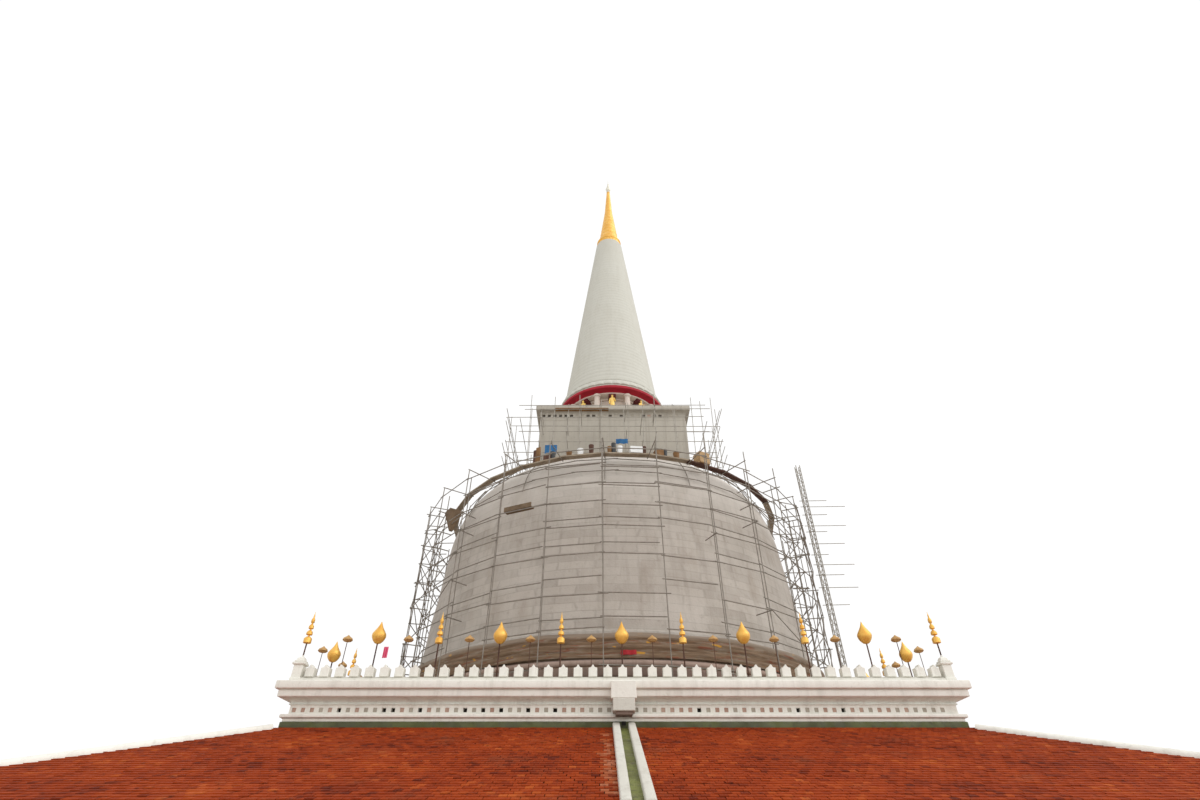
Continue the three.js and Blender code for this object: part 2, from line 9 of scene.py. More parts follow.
# %% The frame
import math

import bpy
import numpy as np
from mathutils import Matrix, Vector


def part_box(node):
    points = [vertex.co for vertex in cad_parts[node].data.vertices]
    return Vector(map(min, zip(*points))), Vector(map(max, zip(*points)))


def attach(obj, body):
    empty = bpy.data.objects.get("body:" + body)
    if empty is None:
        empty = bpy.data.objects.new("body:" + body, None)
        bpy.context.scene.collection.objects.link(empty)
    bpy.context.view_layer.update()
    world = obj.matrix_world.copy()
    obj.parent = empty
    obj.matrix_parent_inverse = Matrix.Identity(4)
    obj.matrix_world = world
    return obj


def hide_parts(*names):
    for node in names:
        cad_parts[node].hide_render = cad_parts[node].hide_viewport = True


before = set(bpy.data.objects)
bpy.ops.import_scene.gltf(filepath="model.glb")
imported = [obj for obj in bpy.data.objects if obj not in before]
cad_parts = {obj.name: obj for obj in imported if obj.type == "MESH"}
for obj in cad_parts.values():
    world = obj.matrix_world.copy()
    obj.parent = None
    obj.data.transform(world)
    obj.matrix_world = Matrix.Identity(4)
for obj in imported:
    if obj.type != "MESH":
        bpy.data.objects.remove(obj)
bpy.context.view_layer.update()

# %% [markdown]
# ## The building's metres
# Every size below is the real building's, in metres. The model is half as big, so the one place where a
# mesh is made multiplies by SCALE. Heights and half widths of the solids are read from the frame, never
# typed again.

SCALE = 0.5
QUARTER = math.pi / 2
FULL = 2 * math.pi
SIDES = ("front", "right", "back", "left")


def foot(node):
    """The height of a solid's lowest point."""
    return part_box(node)[0][2] / SCALE


def top(node):
    """The height of a solid's highest point."""
    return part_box(node)[1][2] / SCALE


def reach(node):
    """How far a solid that stands round the axis reaches from it along +X."""
    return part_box(node)[1][0] / SCALE


real_height, real_width = top("spire_tip"), 2 * reach("gallery_roof_right")
print("the stupa is", round(real_height, 2), "m tall and", round(real_width, 2), "m wide")

# %% [markdown]
# ## The camera
# The view is from low in front, tilted far up, through a wide lens: that makes the cone lean away and
# the parapet run flat. The camera stands a little left of the middle, at a person's eye height. It
# comes first, so that every later piece can be looked at from there.

# %% Camera
EYE = (-0.8, -34.23, 1.6)
TILT = math.radians(37.6)
camera = bpy.data.objects.new("camera", bpy.data.cameras.new("camera"))
camera.data.lens = 18
camera.data.sensor_width = 36
camera.data.clip_end = 600
camera.location = [SCALE * v for v in EYE]
camera.rotation_euler = (QUARTER + TILT, 0, 0)
bpy.context.scene.collection.objects.link(camera)
bpy.context.scene.camera = camera
print("camera at", tuple(camera.location))

# %% [markdown]
# ## A bright overcast studio
# A cloudy sky lights a white building from everywhere, so the world is an even white. One very wide sun
# from the right gives the round walls a soft direction. A weak low one in front whitens the undersides
# of the mouldings, as pale ground does. The Standard view keeps white plaster white and the gold and
# red as strong as they are.

# %% Light
scene = bpy.context.scene
scene.view_settings.view_transform = "Standard"
world = bpy.data.worlds.new("overcast")
world.use_nodes = True
background = world.node_tree.nodes["Background"]
background.inputs["Color"].default_value = (0.94, 0.94, 0.94, 1)
background.inputs["Strength"].default_value = 1.1
scene.world = world


def soft_sun(name, strength, elevation, azimuth, spread):
    """A sun that shines from a height and a bearing, both in degrees; the bearing is from -Y towards +X."""
    sun = bpy.data.objects.new(name, bpy.data.lights.new(name, "SUN"))
    sun.data.energy = strength
    sun.data.angle = math.radians(spread)
    sun.rotation_euler = (QUARTER - math.radians(elevation), 0, math.radians(azimuth))
    scene.collection.objects.link(sun)
    return sun


soft_sun("sun_right", 1.25, 40, 75, 60)
soft_sun("sun_low_front", 0.55, 5, 10, 60)
print("world, one wide sun and one low one")

# %% [markdown]
# ## Shapes as arrays
# A Shape is a list of points and the faces between them. A grid of points from two parameters becomes
# quads, and copies of a shape are made for all places at once. One function at the end turns a Shape
# into a mesh.

# %% Shape


class Shape:
    """Points in the building's metres, and faces as pairs of an index array and a paint number."""

    def __init__(self, points, faces):
        self.points = np.asarray(points, float).reshape(-1, 3)
        self.faces = faces

    def moved(self, x=0.0, y=0.0, z=0.0):
        """The same shape at another place."""
        return Shape(self.points + (x, y, z), self.faces)

    def turned(self, angle):
        """Turned about the upright axis: x cos a - y sin a, x sin a + y cos a."""
        x, y, z = self.points.T
        c, s = math.cos(angle), math.sin(angle)
        return Shape(np.column_stack([x * c - y * s, x * s + y * c, z]), self.faces)

    def painted(self, paint):
        """The same shape with one paint number on every face."""
        return Shape(self.points, [(face, paint) for face, _ in self.faces])


def join(*shapes):
    """Several shapes as one, with the indices of each moved past the ones before."""
    starts = np.cumsum([0] + [len(s.points) for s in shapes])
    faces = [(face + start, paint) for s, start in zip(shapes, starts) for face, paint in s.faces]
    return Shape(np.concatenate([s.points for s in shapes]), faces)


def grid(points, wrap_rows=False, wrap_columns=False):
    """Quads over a grid of points; a face looks along the columns' direction crossed with the rows'."""
    rows, columns = points.shape[:2]
    index = np.arange(rows * columns).reshape(rows, columns)
    if wrap_rows:
        index = np.vstack([index, index[:1]])
    if wrap_columns:
        index = np.hstack([index, index[:, :1]])
    quads = np.stack([index[:-1, :-1], index[:-1, 1:], index[1:, 1:], index[1:, :-1]], -1)
    return Shape(points, [(quads.reshape(-1, 4), 0)])


def capped(points):
    """A grid closed round its columns, with a flat face on its first and its last ring."""
    shape = grid(points, wrap_columns=True)
    rows, columns = points.shape[:2]
    first = np.arange(columns)[::-1][None]
    last = np.arange(columns)[None] + (rows - 1) * columns
    return Shape(shape.points, shape.faces + [(first, 0), (last, 0)])


def copies(shape, places, turns=0.0):
    """A copy for every place: the shape turned by that copy's angle, then moved."""
    places = np.asarray(places, float).reshape(-1, 3)
    angles = np.broadcast_to(turns, len(places))[:, None]
    x, y, z = shape.points.T
    c, s = np.cos(angles), np.sin(angles)
    turned = np.stack([x * c - y * s, x * s + y * c, z + 0 * c], -1)
    steps = (np.arange(len(places)) * len(shape.points))[:, None, None]
    faces = [((face[None] + steps).reshape(-1, face.shape[1]), paint) for face, paint in shape.faces]
    return Shape(turned + places[:, None], faces)


def four_sides(shape):
    """A shape made for the front, repeated on the four sides."""
    return copies(shape, np.zeros((4, 3)), np.arange(4) * QUARTER)


def round_copies(shape, count, offset=0.0):
    """A shape made for the front, repeated round the axis."""
    return copies(shape, np.zeros((count, 3)), (np.arange(count) + offset) / count * FULL)


def painted_between(shape, low, high, paint):
    """Another paint for the faces whose middle lies between two heights."""
    faces = []
    for face, old in shape.faces:
        middle = shape.points[face, 2].mean(1)
        inside = (middle > low) & (middle < high)
        faces += [(face[~inside], old), (face[inside], paint)]
    return Shape(shape.points, [(face, number) for face, number in faces if len(face)])


# %% Round, square, flat and long shapes
ROUND = 256  # sides of a big round wall


def round_points(radius, angle, height):
    """Points round the axis: r cos a, r sin a, z."""
    return np.stack(np.broadcast_arrays(radius * np.cos(angle), radius * np.sin(angle), height), -1)


def revolved(profile, sides=ROUND):
    """A profile of (radius, height) from the foot up, turned round the axis, with flat ends."""
    radius, height = np.asarray(profile, float).T[:, :, None]
    return capped(round_points(radius, np.arange(sides) / sides * FULL, height))


def hollow_ring(profile, sides=ROUND):
    """A closed profile turned round the axis: it runs up the ring's outside and down its inside."""
    radius, height = np.asarray(profile, float).T[:, :, None]
    points = round_points(radius, np.arange(sides) / sides * FULL, height)
    return grid(points, wrap_rows=True, wrap_columns=True)


def squared(profile, arris=0.03, steps=3):
    """A profile of (half width, height) carried round a square whose corners are rounded by the arris."""
    half, height = np.asarray(profile, float).T[:, :, None]
    corner = np.repeat(np.arange(4), steps + 1)
    angle = corner * QUARTER + np.tile(np.arange(steps + 1) / steps, 4) * QUARTER
    side_x = np.where((corner == 0) | (corner == 3), 1, -1)
    side_y = np.where(corner < 2, 1, -1)
    x = side_x * (half - arris) + arris * np.cos(angle)
    y = side_y * (half - arris) + arris * np.sin(angle)
    return capped(np.stack(np.broadcast_arrays(x, y, height), -1))


def shrunk(outline, amount):
    """A closed outline moved inwards: each point along the mean of its two edges' inward directions."""
    forward = np.roll(outline, -1, 0) - outline
    forward /= np.linalg.norm(forward, axis=1)[:, None]
    inward = np.column_stack([-forward[:, 1], forward[:, 0]])
    mean = inward + np.roll(inward, 1, 0)
    share = np.maximum((mean * inward).sum(1), 0.5)[:, None]
    return outline + mean / share * amount


def carried(rings):
    """Pairs of an outline of (x, z) and its y, as rings of points that are closed into one shape."""
    return capped(np.stack([np.column_stack([p[:, 0], np.full(len(p), y), p[:, 1]]) for p, y in rings]))


def prism(outline, front, back, bevel=0.0):
    """An outline of (x, z), anticlockwise as seen from the front, carried from y = front to y = back."""
    outline = np.asarray(outline, float)
    small = shrunk(outline, bevel) if bevel else outline
    rings = [(small, back), (outline, back - bevel), (outline, front + bevel), (small, front)]
    return carried(rings if bevel else [rings[0], rings[3]])


BOX_SIDES = [[i, (i + 1) % 4, (i + 1) % 4 + 4, i + 4] for i in range(4)]
BOX_FACES = np.array([[3, 2, 1, 0], [4, 5, 6, 7], *BOX_SIDES])  # corners 0 to 3 below, 4 to 7 above


def boxes(lows, highs):
    """Boxes between pairs of opposite corners."""
    lows, highs = (np.asarray(v, float).reshape(-1, 3) for v in (lows, highs))
    pick = np.array([[0, 0], [1, 0], [1, 1], [0, 1]])
    corners = np.stack([np.column_stack([pick, np.full(4, k)]) for k in (0, 1)]).reshape(8, 3)
    points = lows[:, None] + (highs - lows)[:, None] * corners
    steps = (np.arange(len(lows)) * 8)[:, None, None]
    return Shape(points, [((BOX_FACES[None] + steps).reshape(-1, 4), 0)])


def tubes(starts, ends, radius, sides=6):
    """Round bars between pairs of points: a ring about each end, square to the bar, and flat ends."""
    starts, ends = (np.asarray(v, float).reshape(-1, 3) for v in (starts, ends))
    along = ends - starts
    along /= np.linalg.norm(along, axis=1)[:, None]
    helper = np.where(np.abs(along[:, 2:]) > 0.9, (1.0, 0, 0), (0, 0, 1.0))
    across = np.cross(along, helper)
    across /= np.linalg.norm(across, axis=1)[:, None]
    other = np.cross(along, across)
    angle = (np.arange(sides) / sides * FULL)[None, :, None]
    ring = (across[:, None] * np.cos(angle) + other[:, None] * np.sin(angle)) * radius
    points = np.stack([starts[:, None] + ring, ends[:, None] + ring], 1)
    steps = (np.arange(len(starts)) * 2 * sides)[:, None, None]
    i = np.arange(sides)
    j = (i + 1) % sides
    quads = np.stack([i, j, j + sides, i + sides], -1)
    caps = np.stack([i[::-1], i + sides])
    faces = [((quads[None] + steps).reshape(-1, 4), 0), ((caps[None] + steps).reshape(-1, sides), 0)]
    return Shape(points, faces)


# %% One place where a mesh is made
made_triangles = {}


def add_piece(name, shape, materials, replaces=(), crease=35, tone=None, cut=None):
    """Puts a shape into a mesh at the model's scale, makes it ride on the body, and hides the solids it
    replaces.

    A tone is one number for each point. A cut is each point's place on the flat cloth, kept as a UV map.
    """
    mesh = bpy.data.meshes.new(name)
    corners = np.concatenate([face.ravel() for face, _ in shape.faces]).astype(np.int32)
    totals = np.concatenate([np.full(len(face), face.shape[1]) for face, _ in shape.faces])
    paints = np.concatenate([np.full(len(face), paint) for face, paint in shape.faces]).astype(np.int32)
    starts = (np.cumsum(totals) - totals).astype(np.int32)
    mesh.vertices.add(len(shape.points))
    mesh.vertices.foreach_set("co", (shape.points * SCALE).astype(np.float32).ravel())
    mesh.loops.add(len(corners))
    mesh.loops.foreach_set("vertex_index", corners)
    mesh.polygons.add(len(totals))
    mesh.polygons.foreach_set("loop_start", starts)
    for material in materials:
        mesh.materials.append(material)
    mesh.polygons.foreach_set("material_index", paints)
    mesh.polygons.foreach_set("use_smooth", np.ones(len(totals), bool))
    mesh.update(calc_edges=True)
    mesh.set_sharp_from_angle(angle=math.radians(crease))
    if tone is not None:
        layer = mesh.attributes.new("tone", "FLOAT", "POINT")
        layer.data.foreach_set("value", np.asarray(tone, np.float32))
    if cut is not None:
        mesh.uv_layers.new(name="cut").data.foreach_set("uv", cut[corners].astype(np.float32).ravel())
    piece = bpy.data.objects.new(name, mesh)
    scene.collection.objects.link(piece)
    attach(piece, "root")
    if replaces:
        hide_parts(*replaces)
    made_triangles[name] = int((totals - 2).sum())
    print(f"{name}: {made_triangles[name]} triangles")
    return piece


def add_each_side(name, shape, materials, node):
    """A shape made for the front, as a piece on each side that replaces the node of that side."""
    for index, side in enumerate(SIDES):
        turned = shape.turned(index * QUARTER)
        add_piece(f"{name}_{side}", turned, materials, [f"{node}_{side}"])


def finish_solid(node, material):
    """Gives a solid of the frame one finish and leaves its shape."""
    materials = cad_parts[node].data.materials
    materials.clear()
    materials.append(material)


# %% [markdown]
# ## Finishes
# Each finish is a few layers of noise in object space, so nothing needs a picture and nothing slides: a
# wide layer for damp patches, one stretched upright for rain streaks, and a fine one for the grain and
# the bump.

# %% A finish and its layers


def screen(red, green, blue):
    """A screen colour from 0 to 255 as the linear colour that a shader takes."""
    v = np.array([red, green, blue]) / 255
    return (*np.where(v <= 0.04045, v / 12.92, ((v + 0.055) / 1.055) ** 2.4), 1.0)


EVEN = (1, 1, 1)  # the scale of a noise that is as wide as it is high


class Finish:
    """A material that is built from its patterns to its shader."""

    def __init__(self, name, roughness, metallic=0.0):
        self.material = bpy.data.materials.new(name)
        self.material.use_nodes = True
        self.tree = self.material.node_tree
        self.shader = self.tree.nodes["Principled BSDF"]
        self.shader.inputs["Roughness"].default_value = roughness
        self.shader.inputs["Metallic"].default_value = metallic
        self.place = self.add("TexCoord").outputs["Object"]
        self.normal = None

    def add(self, kind, settings=(), **sockets):
        """A node with its settings; each socket is linked or set, by its name or, as _0, by its number."""
        made = self.tree.nodes.new("ShaderNode" + kind)
        for key, value in dict(settings).items():
            setattr(made, key, value)
        for key, value in sockets.items():
            socket = made.inputs[int(key[1:])] if key[1:].isdigit() else made.inputs[key.replace("_", " ")]
            if isinstance(value, bpy.types.NodeSocket):
                self.tree.links.new(value, socket)
            else:
                socket.default_value = value
        return made

    def stretched(self, scale):
        """The object's coordinates times a scale for each axis."""
        return self.add("Mapping", Vector=self.place, Scale=scale).outputs["Vector"]

    def noise(self, scale, detail=4.0, stretch=EVEN, rough=0.55):
        """Cloudy noise from 0 to 1."""
        place = self.place if stretch == EVEN else self.stretched(stretch)
        made = self.add("TexNoise", Vector=place, Scale=scale, Detail=detail, Roughness=rough)
        return made.outputs["Fac"]

    def between(self, value, low, high, start=0.0, end=1.0):
        """The value's stretch from low to high, as start to end."""
        limits = {"From_Min": low, "From_Max": high, "To_Min": start, "To_Max": end}
        made = self.add("MapRange", {"clamp": True}, Value=value, **limits)
        return made.outputs["Result"]

    def maths(self, operation, first, second=0.0):
        """Two values as one."""
        return self.add("Math", {"operation": operation}, _0=first, _1=second).outputs["Value"]

    def mixed(self, amount, first, second):
        """Two colours as one."""
        return self.add("MixRGB", Fac=amount, Color1=first, Color2=second).outputs["Color"]

    def around(self):
        """The angle round the axis, from -pi to pi, and the height, both as values."""
        split = self.add("SeparateXYZ", Vector=self.place)
        angle = self.add("Math", {"operation": "ARCTAN2"}, _0=split.outputs["Y"], _1=split.outputs["X"])
        return angle.outputs["Value"], split.outputs["Z"]

    def bump(self, height, depth, strength=1.0):
        """Adds a relief to the ones before it."""
        before = {} if self.normal is None else {"Normal": self.normal}
        made = self.add("Bump", Height=height, Distance=depth, Strength=strength, **before)
        self.normal = made.outputs["Normal"]

    def done(self, colour, roughness=None):
        """Links the colour and the relief to the shader."""
        self.tree.links.new(colour, self.shader.inputs["Base Color"])
        if roughness is not None:
            self.tree.links.new(roughness, self.shader.inputs["Roughness"])
        if self.normal is not None:
            self.tree.links.new(self.normal, self.shader.inputs["Normal"])
        print("finish", self.material.name)
        return self.material


# %% [markdown]
# ### Plaster and limewash
# Limewash is bright where it is new and greyer where rain runs over it. The bell waits for its new
# coat: bare plaster in patches as tall as one lift of the scaffold, because each gang works on what it
# can reach.

# %% Plaster finishes


def plaster_finish(name, clean, warm, grime, streaks=0.5, patches=0.5):
    """Limewashed plaster: damp patches, upright rain streaks, small spots and a trowelled relief."""
    made = Finish(name, 0.88)
    clean, warm, grime = screen(*clean), screen(*warm), screen(*grime)
    colour = made.mixed(made.between(made.noise(0.55, 5), 0.4, 0.68, 0, patches), clean, warm)
    rain = made.noise(1.7, 6, (3.2, 3.2, 0.16), 0.65)
    colour = made.mixed(made.between(rain, 0.5, 0.74, 0, streaks), colour, grime)
    spots = made.noise(9, 6, rough=0.7)
    colour = made.mixed(made.between(spots, 0.56, 0.72, 0, 0.35), colour, grime)
    made.bump(made.noise(34, 5), 0.004)
    made.bump(made.noise(3.5, 4), 0.012)
    return made.done(colour, made.between(spots, 0.3, 0.7, 0.8, 0.94))


limewash = plaster_finish("limewash", (230, 228, 219), (219, 214, 203), (178, 173, 160), 0.42)
worn_limewash = plaster_finish("worn_limewash", (203, 200, 190), (192, 187, 175), (152, 146, 132))
# Painted light: a cooler, brighter limewash for the cornice's cove and undersides, against the pink light
# that the red roof throws up on them.
painted_light_limewash = plaster_finish("painted_light_limewash", (226, 231, 222), (212, 214, 204), (176, 174, 163))
old_limewash = plaster_finish("old_limewash", (173, 166, 154), (158, 151, 140), (123, 116, 105))
cone_limewash = plaster_finish("cone_limewash", (192, 190, 180), (185, 181, 169), (168, 163, 150), 0.25)
beige_limewash = plaster_finish("beige_limewash", (210, 197, 186), (194, 178, 165), (150, 132, 118), 0.3)
PATCHES_ROUND = 34  # plaster patches in one ring of the bell
PALE_SHOULDER = (7.2, 8.6)  # the model's heights between which the bell's plaster pales


def bell_plaster_finish():
    """Bare plaster in staggered patches of slightly different grey, darker at their joints, pale on top."""
    made = Finish("bell_plaster", 0.92)
    angle, height = made.around()
    sway = made.between(made.noise(1.1, 3), 0.2, 0.8, -0.05, 0.05)
    turns = made.maths("MULTIPLY", angle, PATCHES_ROUND / FULL)
    across = made.maths("ADD", turns, made.maths("MULTIPLY", sway, 3.0))
    upwards = made.maths("ADD", made.maths("MULTIPLY", height, 2.7), sway)
    flat = made.add("CombineXYZ", X=across, Y=upwards).outputs["Vector"]
    patch = made.add(
        "TexBrick",
        Vector=flat,
        Color1=screen(179, 170, 160),
        Color2=screen(161, 152, 142),
        Mortar=screen(155, 147, 137),
        Scale=1.0,
        Mortar_Size=0.05,
        Mortar_Smooth=1.0,
        Brick_Width=1.0,
        Row_Height=0.5,
    )
    cloud = made.between(made.noise(0.9, 6, rough=0.62), 0.38, 0.66, 0, 0.7)
    colour = made.mixed(cloud, patch.outputs["Color"], screen(186, 178, 169))
    damp = made.noise(1.6, 6, (1.0, 1.0, 0.5), 0.6)
    colour = made.mixed(made.between(damp, 0.52, 0.7, 0, 0.6), colour, screen(154, 142, 129))
    rain = made.noise(2.2, 6, (3.0, 3.0, 0.2), 0.65)
    colour = made.mixed(made.between(rain, 0.5, 0.72, 0, 0.4), colour, screen(141, 132, 121))
    spots = made.noise(7, 6, rough=0.7)
    colour = made.mixed(made.between(spots, 0.56, 0.72, 0, 0.35), colour, screen(132, 122, 112))
    colour = made.mixed(made.between(height, *PALE_SHOULDER, 0, 0.6), colour, screen(202, 195, 187))
    made.bump(made.noise(26, 5), 0.006)
    made.bump(patch.outputs["Fac"], 0.003, 0.5)
    return made.done(colour)


bell_plaster = bell_plaster_finish()
# Brown stained plaster on the middle ring; on the lower ring's two grooves the same brown is painted shade.
stained_plaster = plaster_finish("stained_plaster", (150, 128, 108), (124, 98, 76), (84, 62, 46), 0.7)
mauve_plaster = plaster_finish("mauve_plaster", (160, 138, 126), (142, 118, 104), (104, 84, 70), 0.6)
# A dark brown plaster: painted shade on the lower ring's middle band, and the colour of the sills under the
# spouts.
dark_brown_plaster = plaster_finish("dark_brown_plaster", (126, 106, 95), (104, 84, 74), (70, 54, 44), 0.6)
paving_slabs = plaster_finish("paving_slabs", (184, 176, 163), (166, 156, 141), (122, 114, 102), 0.2)

# %% [markdown]
# ### Tiles, glaze, paint and gold
# Every tile has its own tone, stored in the mesh, because burnt clay never comes out twice the same.
# Gold leaf on plaster is soft and a little uneven, so it stays fairly rough.

# %% Tile, glaze, paint and metal finishes


def tile_finish():
    """Burnt clay: the tile's own tone picks its colour, whitish above 0.9; weather and soot spot it."""
    made = Finish("clay_tile", 0.9)
    made.shader.inputs["Specular IOR Level"].default_value = 0.15
    tone = made.add("Attribute", {"attribute_name": "tone"}).outputs["Fac"]
    ramp = made.add("ValToRGB", Fac=tone)
    stops = [(0.0, screen(96, 32, 12)), (0.3, screen(136, 50, 14)), (0.65, screen(152, 60, 17))]
    stops += [(0.88, screen(172, 82, 32)), (0.93, screen(158, 84, 50)), (1.0, screen(176, 110, 80))]
    elements = ramp.color_ramp.elements
    elements[0].position, elements[0].color = stops[0]
    elements[1].position, elements[1].color = stops[-1]
    for position, colour in stops[1:-1]:
        elements.new(position).color = colour
    worn = made.between(made.noise(1.3, 6, rough=0.7), 0.56, 0.74, 0, 0.35)
    colour = made.mixed(worn, ramp.outputs["Color"], screen(128, 84, 58))
    soot = made.between(made.noise(7, 5, rough=0.7), 0.56, 0.68, 0, 0.65)
    colour = made.mixed(soot, colour, screen(66, 25, 17))
    made.bump(made.noise(60, 4), 0.003)
    return made.done(colour)


def glaze_finish(name, fresh, worn):
    """Worn green glaze with moss in its dirt."""
    made = Finish(name, 0.5)
    colour = made.mixed(made.between(made.noise(2.4, 6), 0.4, 0.62), screen(*fresh), screen(*worn))
    colour = made.mixed(made.between(made.noise(14, 5), 0.52, 0.68, 0, 0.7), colour, screen(62, 60, 40))
    made.bump(made.noise(30, 4), 0.004)
    return made.done(colour, made.between(made.noise(6, 4), 0.35, 0.65, 0.4, 0.75))


def mottled_finish(name, main, second, roughness, metallic=0.0, scale=3.0, relief=0.002, stretch=EVEN):
    """One colour that drifts to a second, with a fine grain."""
    made = Finish(name, roughness, metallic)
    drift = made.noise(scale, 6, stretch, 0.65)
    colour = made.mixed(made.between(drift, 0.36, 0.68), screen(*main), screen(*second))
    made.bump(made.noise(scale * 9, 4, stretch), relief)
    return made.done(colour, made.between(drift, 0.3, 0.7, roughness - 0.07, roughness + 0.1))


def cloth_finish():
    """Old tarpaulin: brown that runs in level streaks, paler at its top hem, with rust and ochre."""
    made = Finish("brown_cloth", 0.9)
    made.place = made.add("UVMap", {"uv_map": "cut"}).outputs["UV"]
    down = made.add("SeparateXYZ", Vector=made.place).outputs["Y"]
    streak = made.noise(2.2, 6, (1, 16, 1), 0.65)
    colour = made.mixed(made.between(streak, 0.34, 0.66), screen(128, 104, 80), screen(92, 72, 55))
    grey = made.noise(1.4, 5, (1.3, 9, 1), 0.6)
    colour = made.mixed(made.between(grey, 0.5, 0.66, 0, 0.75), colour, screen(140, 126, 110))
    rust = made.noise(1.9, 5, (1, 7, 1), 0.6)
    colour = made.mixed(made.between(rust, 0.56, 0.66, 0, 0.8), colour, screen(118, 58, 34))
    ochre = made.noise(2.7, 3, (1, 3, 1), 0.5)
    colour = made.mixed(made.between(ochre, 0.66, 0.7, 0, 0.9), colour, screen(186, 134, 40))
    hem = made.between(down, 0.0, 0.12, 0.85, 0.0)
    colour = made.mixed(hem, colour, screen(150, 138, 124))
    made.bump(made.noise(40, 3), 0.002)
    return made.done(colour)


clay_tile = tile_finish()
glazed_green = glaze_finish("glazed_green", (116, 121, 60), (94, 97, 46))
dark_glaze = glaze_finish("dark_glaze", (80, 85, 40), (64, 66, 32))
brown_cloth = cloth_finish()
red_paint = mottled_finish("red_paint", (164, 2, 34), (144, 2, 28), 0.75, scale=2.5)
# Painted shade: a dark red for the brackets under the canopy, which stand in its shadow.
red_in_painted_shade = mottled_finish("red_in_painted_shade", (96, 10, 20), (70, 8, 14), 0.7)
gold_leaf = mottled_finish("gold_leaf", (236, 186, 92), (222, 164, 68), 0.42, 0.5, scale=5.0, relief=0.003)
dull_gold = mottled_finish("dull_gold", (196, 156, 96), (168, 128, 80), 0.6, 0.2, scale=6.0, relief=0.003)
# Painted light: a paler, brighter gold than the leaf, for the figures that stand in the canopy's shade.
gold_with_painted_light = mottled_finish("gold_with_painted_light", (246, 212, 122), (236, 192, 96), 0.45, 0.2, scale=6.0)
pale_metal = mottled_finish("pale_metal", (226, 222, 208), (206, 200, 184), 0.38, 0.5)
tube_metal = mottled_finish("tube_metal", (140, 132, 122), (114, 106, 96), 0.6, 0.15, 8.0)
light_tube = mottled_finish("light_tube", (168, 162, 152), (140, 134, 125), 0.6, 0.15, 8.0)
deck_wood = mottled_finish("deck_wood", (158, 144, 124), (126, 112, 94), 0.85, 0, 5.0, 0.003)
plank_wood = mottled_finish("plank_wood", (134, 98, 60), (104, 74, 44), 0.82, 0, 6.0, 0.004)
old_boards = mottled_finish("old_boards", (118, 98, 76), (92, 74, 54), 0.85, 0, 5.0, 0.003)
dark_wood = mottled_finish("dark_wood", (86, 54, 38), (60, 36, 26), 0.8, 0, 5.0, 0.003, (5, 5, 1))
plywood = mottled_finish("plywood", (178, 148, 108), (150, 118, 80), 0.8, 0, 5.0, 0.002, (1, 1, 5))
hole_shade = mottled_finish("hole_shade", (30, 27, 24), (44, 38, 32), 0.95)
clay_plug = mottled_finish("clay_plug", (186, 158, 142), (168, 134, 118), 0.9)
grey_plug = mottled_finish("grey_plug", (176, 168, 154), (156, 148, 134), 0.9)
blue_cloth = mottled_finish("blue_cloth", (30, 98, 146), (20, 74, 118), 0.7)
red_cloth = mottled_finish("red_cloth", (170, 32, 40), (140, 22, 30), 0.8)
pink_cloth = mottled_finish("pink_cloth", (226, 96, 128), (204, 74, 108), 0.8)
white_plastic = mottled_finish("white_plastic", (226, 226, 224), (206, 206, 204), 0.5)
black_plastic = mottled_finish("black_plastic", (34, 36, 38), (50, 50, 50), 0.5)

# %% [markdown]
# ## The floor
# A plain pale floor, large enough that its edge never shows. It belongs to the studio and not to the
# stupa.

# %% Floor
FLOOR = {"radius": 400, "sides": 64, "z": -0.02}  # a little under the ground
floor_angle = np.arange(FLOOR["sides"]) / FLOOR["sides"] * FULL
floor_disc = round_points(FLOOR["radius"], floor_angle, FLOOR["z"])
floor_finish = mottled_finish("studio_floor", (206, 204, 199), (200, 198, 193), 0.9, scale=0.05)
floor_mesh = bpy.data.meshes.new("floor")
floor_mesh.from_pydata((floor_disc * SCALE).tolist(), [], [list(range(FLOOR["sides"]))])
floor_mesh.materials.append(floor_finish)
floor = bpy.data.objects.new("floor", floor_mesh)
scene.collection.objects.link(floor)

# %% [markdown]
# ## Pieces that keep their solid
# Plain blocks of masonry already have the right shape, so they only take a finish: the plinth, the core
# of the base, the terrace, and the arcade of the gallery.

# %% Finishes on the solids
kept = {"ground_plinth": paving_slabs, "terrace_paving": paving_slabs, "base_wall": old_limewash}
kept.update({f"gallery_arcade_{side}": limewash for side in SIDES})
for name, material in kept.items():
    finish_solid(name, material)
print(len(kept), "solids keep their shape")

# %% [markdown]
# ## White courses round the square base
# A moulding is a profile carried round the square. Its edges are small quarter circles: plaster never
# ends in a knife edge, and a rounded arris is what catches the light in a render. The string course has
# two steps, and the cornice rises from a small roll through a cove to an upright face. In the middle
# of each side a spout block with a narrower, greyer foot stands before it.

# %% Mouldings


def band(half, low, high, nose=0.03, steps=3):
    """An upright band whose two edges are quarter circles of radius nose."""
    turn = np.linspace(0, QUARTER, steps + 1)
    lower = np.column_stack([half - nose + nose * np.sin(turn), low + nose - nose * np.cos(turn)])
    upper = np.column_stack([half - nose + nose * np.cos(turn), high - nose + nose * np.sin(turn)])
    return np.vstack([lower, upper])


def roll(half, low, high, bulge, steps=8):
    """A half round moulding: half + bulge sin t, while the height goes from low to high with t."""
    turn = np.linspace(0, math.pi, steps + 1)
    height = (low + high) / 2 - (high - low) / 2 * np.cos(turn)
    return np.column_stack([half + bulge * np.sin(turn), height])


def hollow(half, low, outer, high, steps=8):
    """A cove: a quarter ellipse that starts upright at half and sweeps outwards to outer."""
    turn = np.linspace(0, QUARTER, steps + 1)
    return np.column_stack([half + (outer - half) * (1 - np.cos(turn)), low + (high - low) * np.sin(turn)])


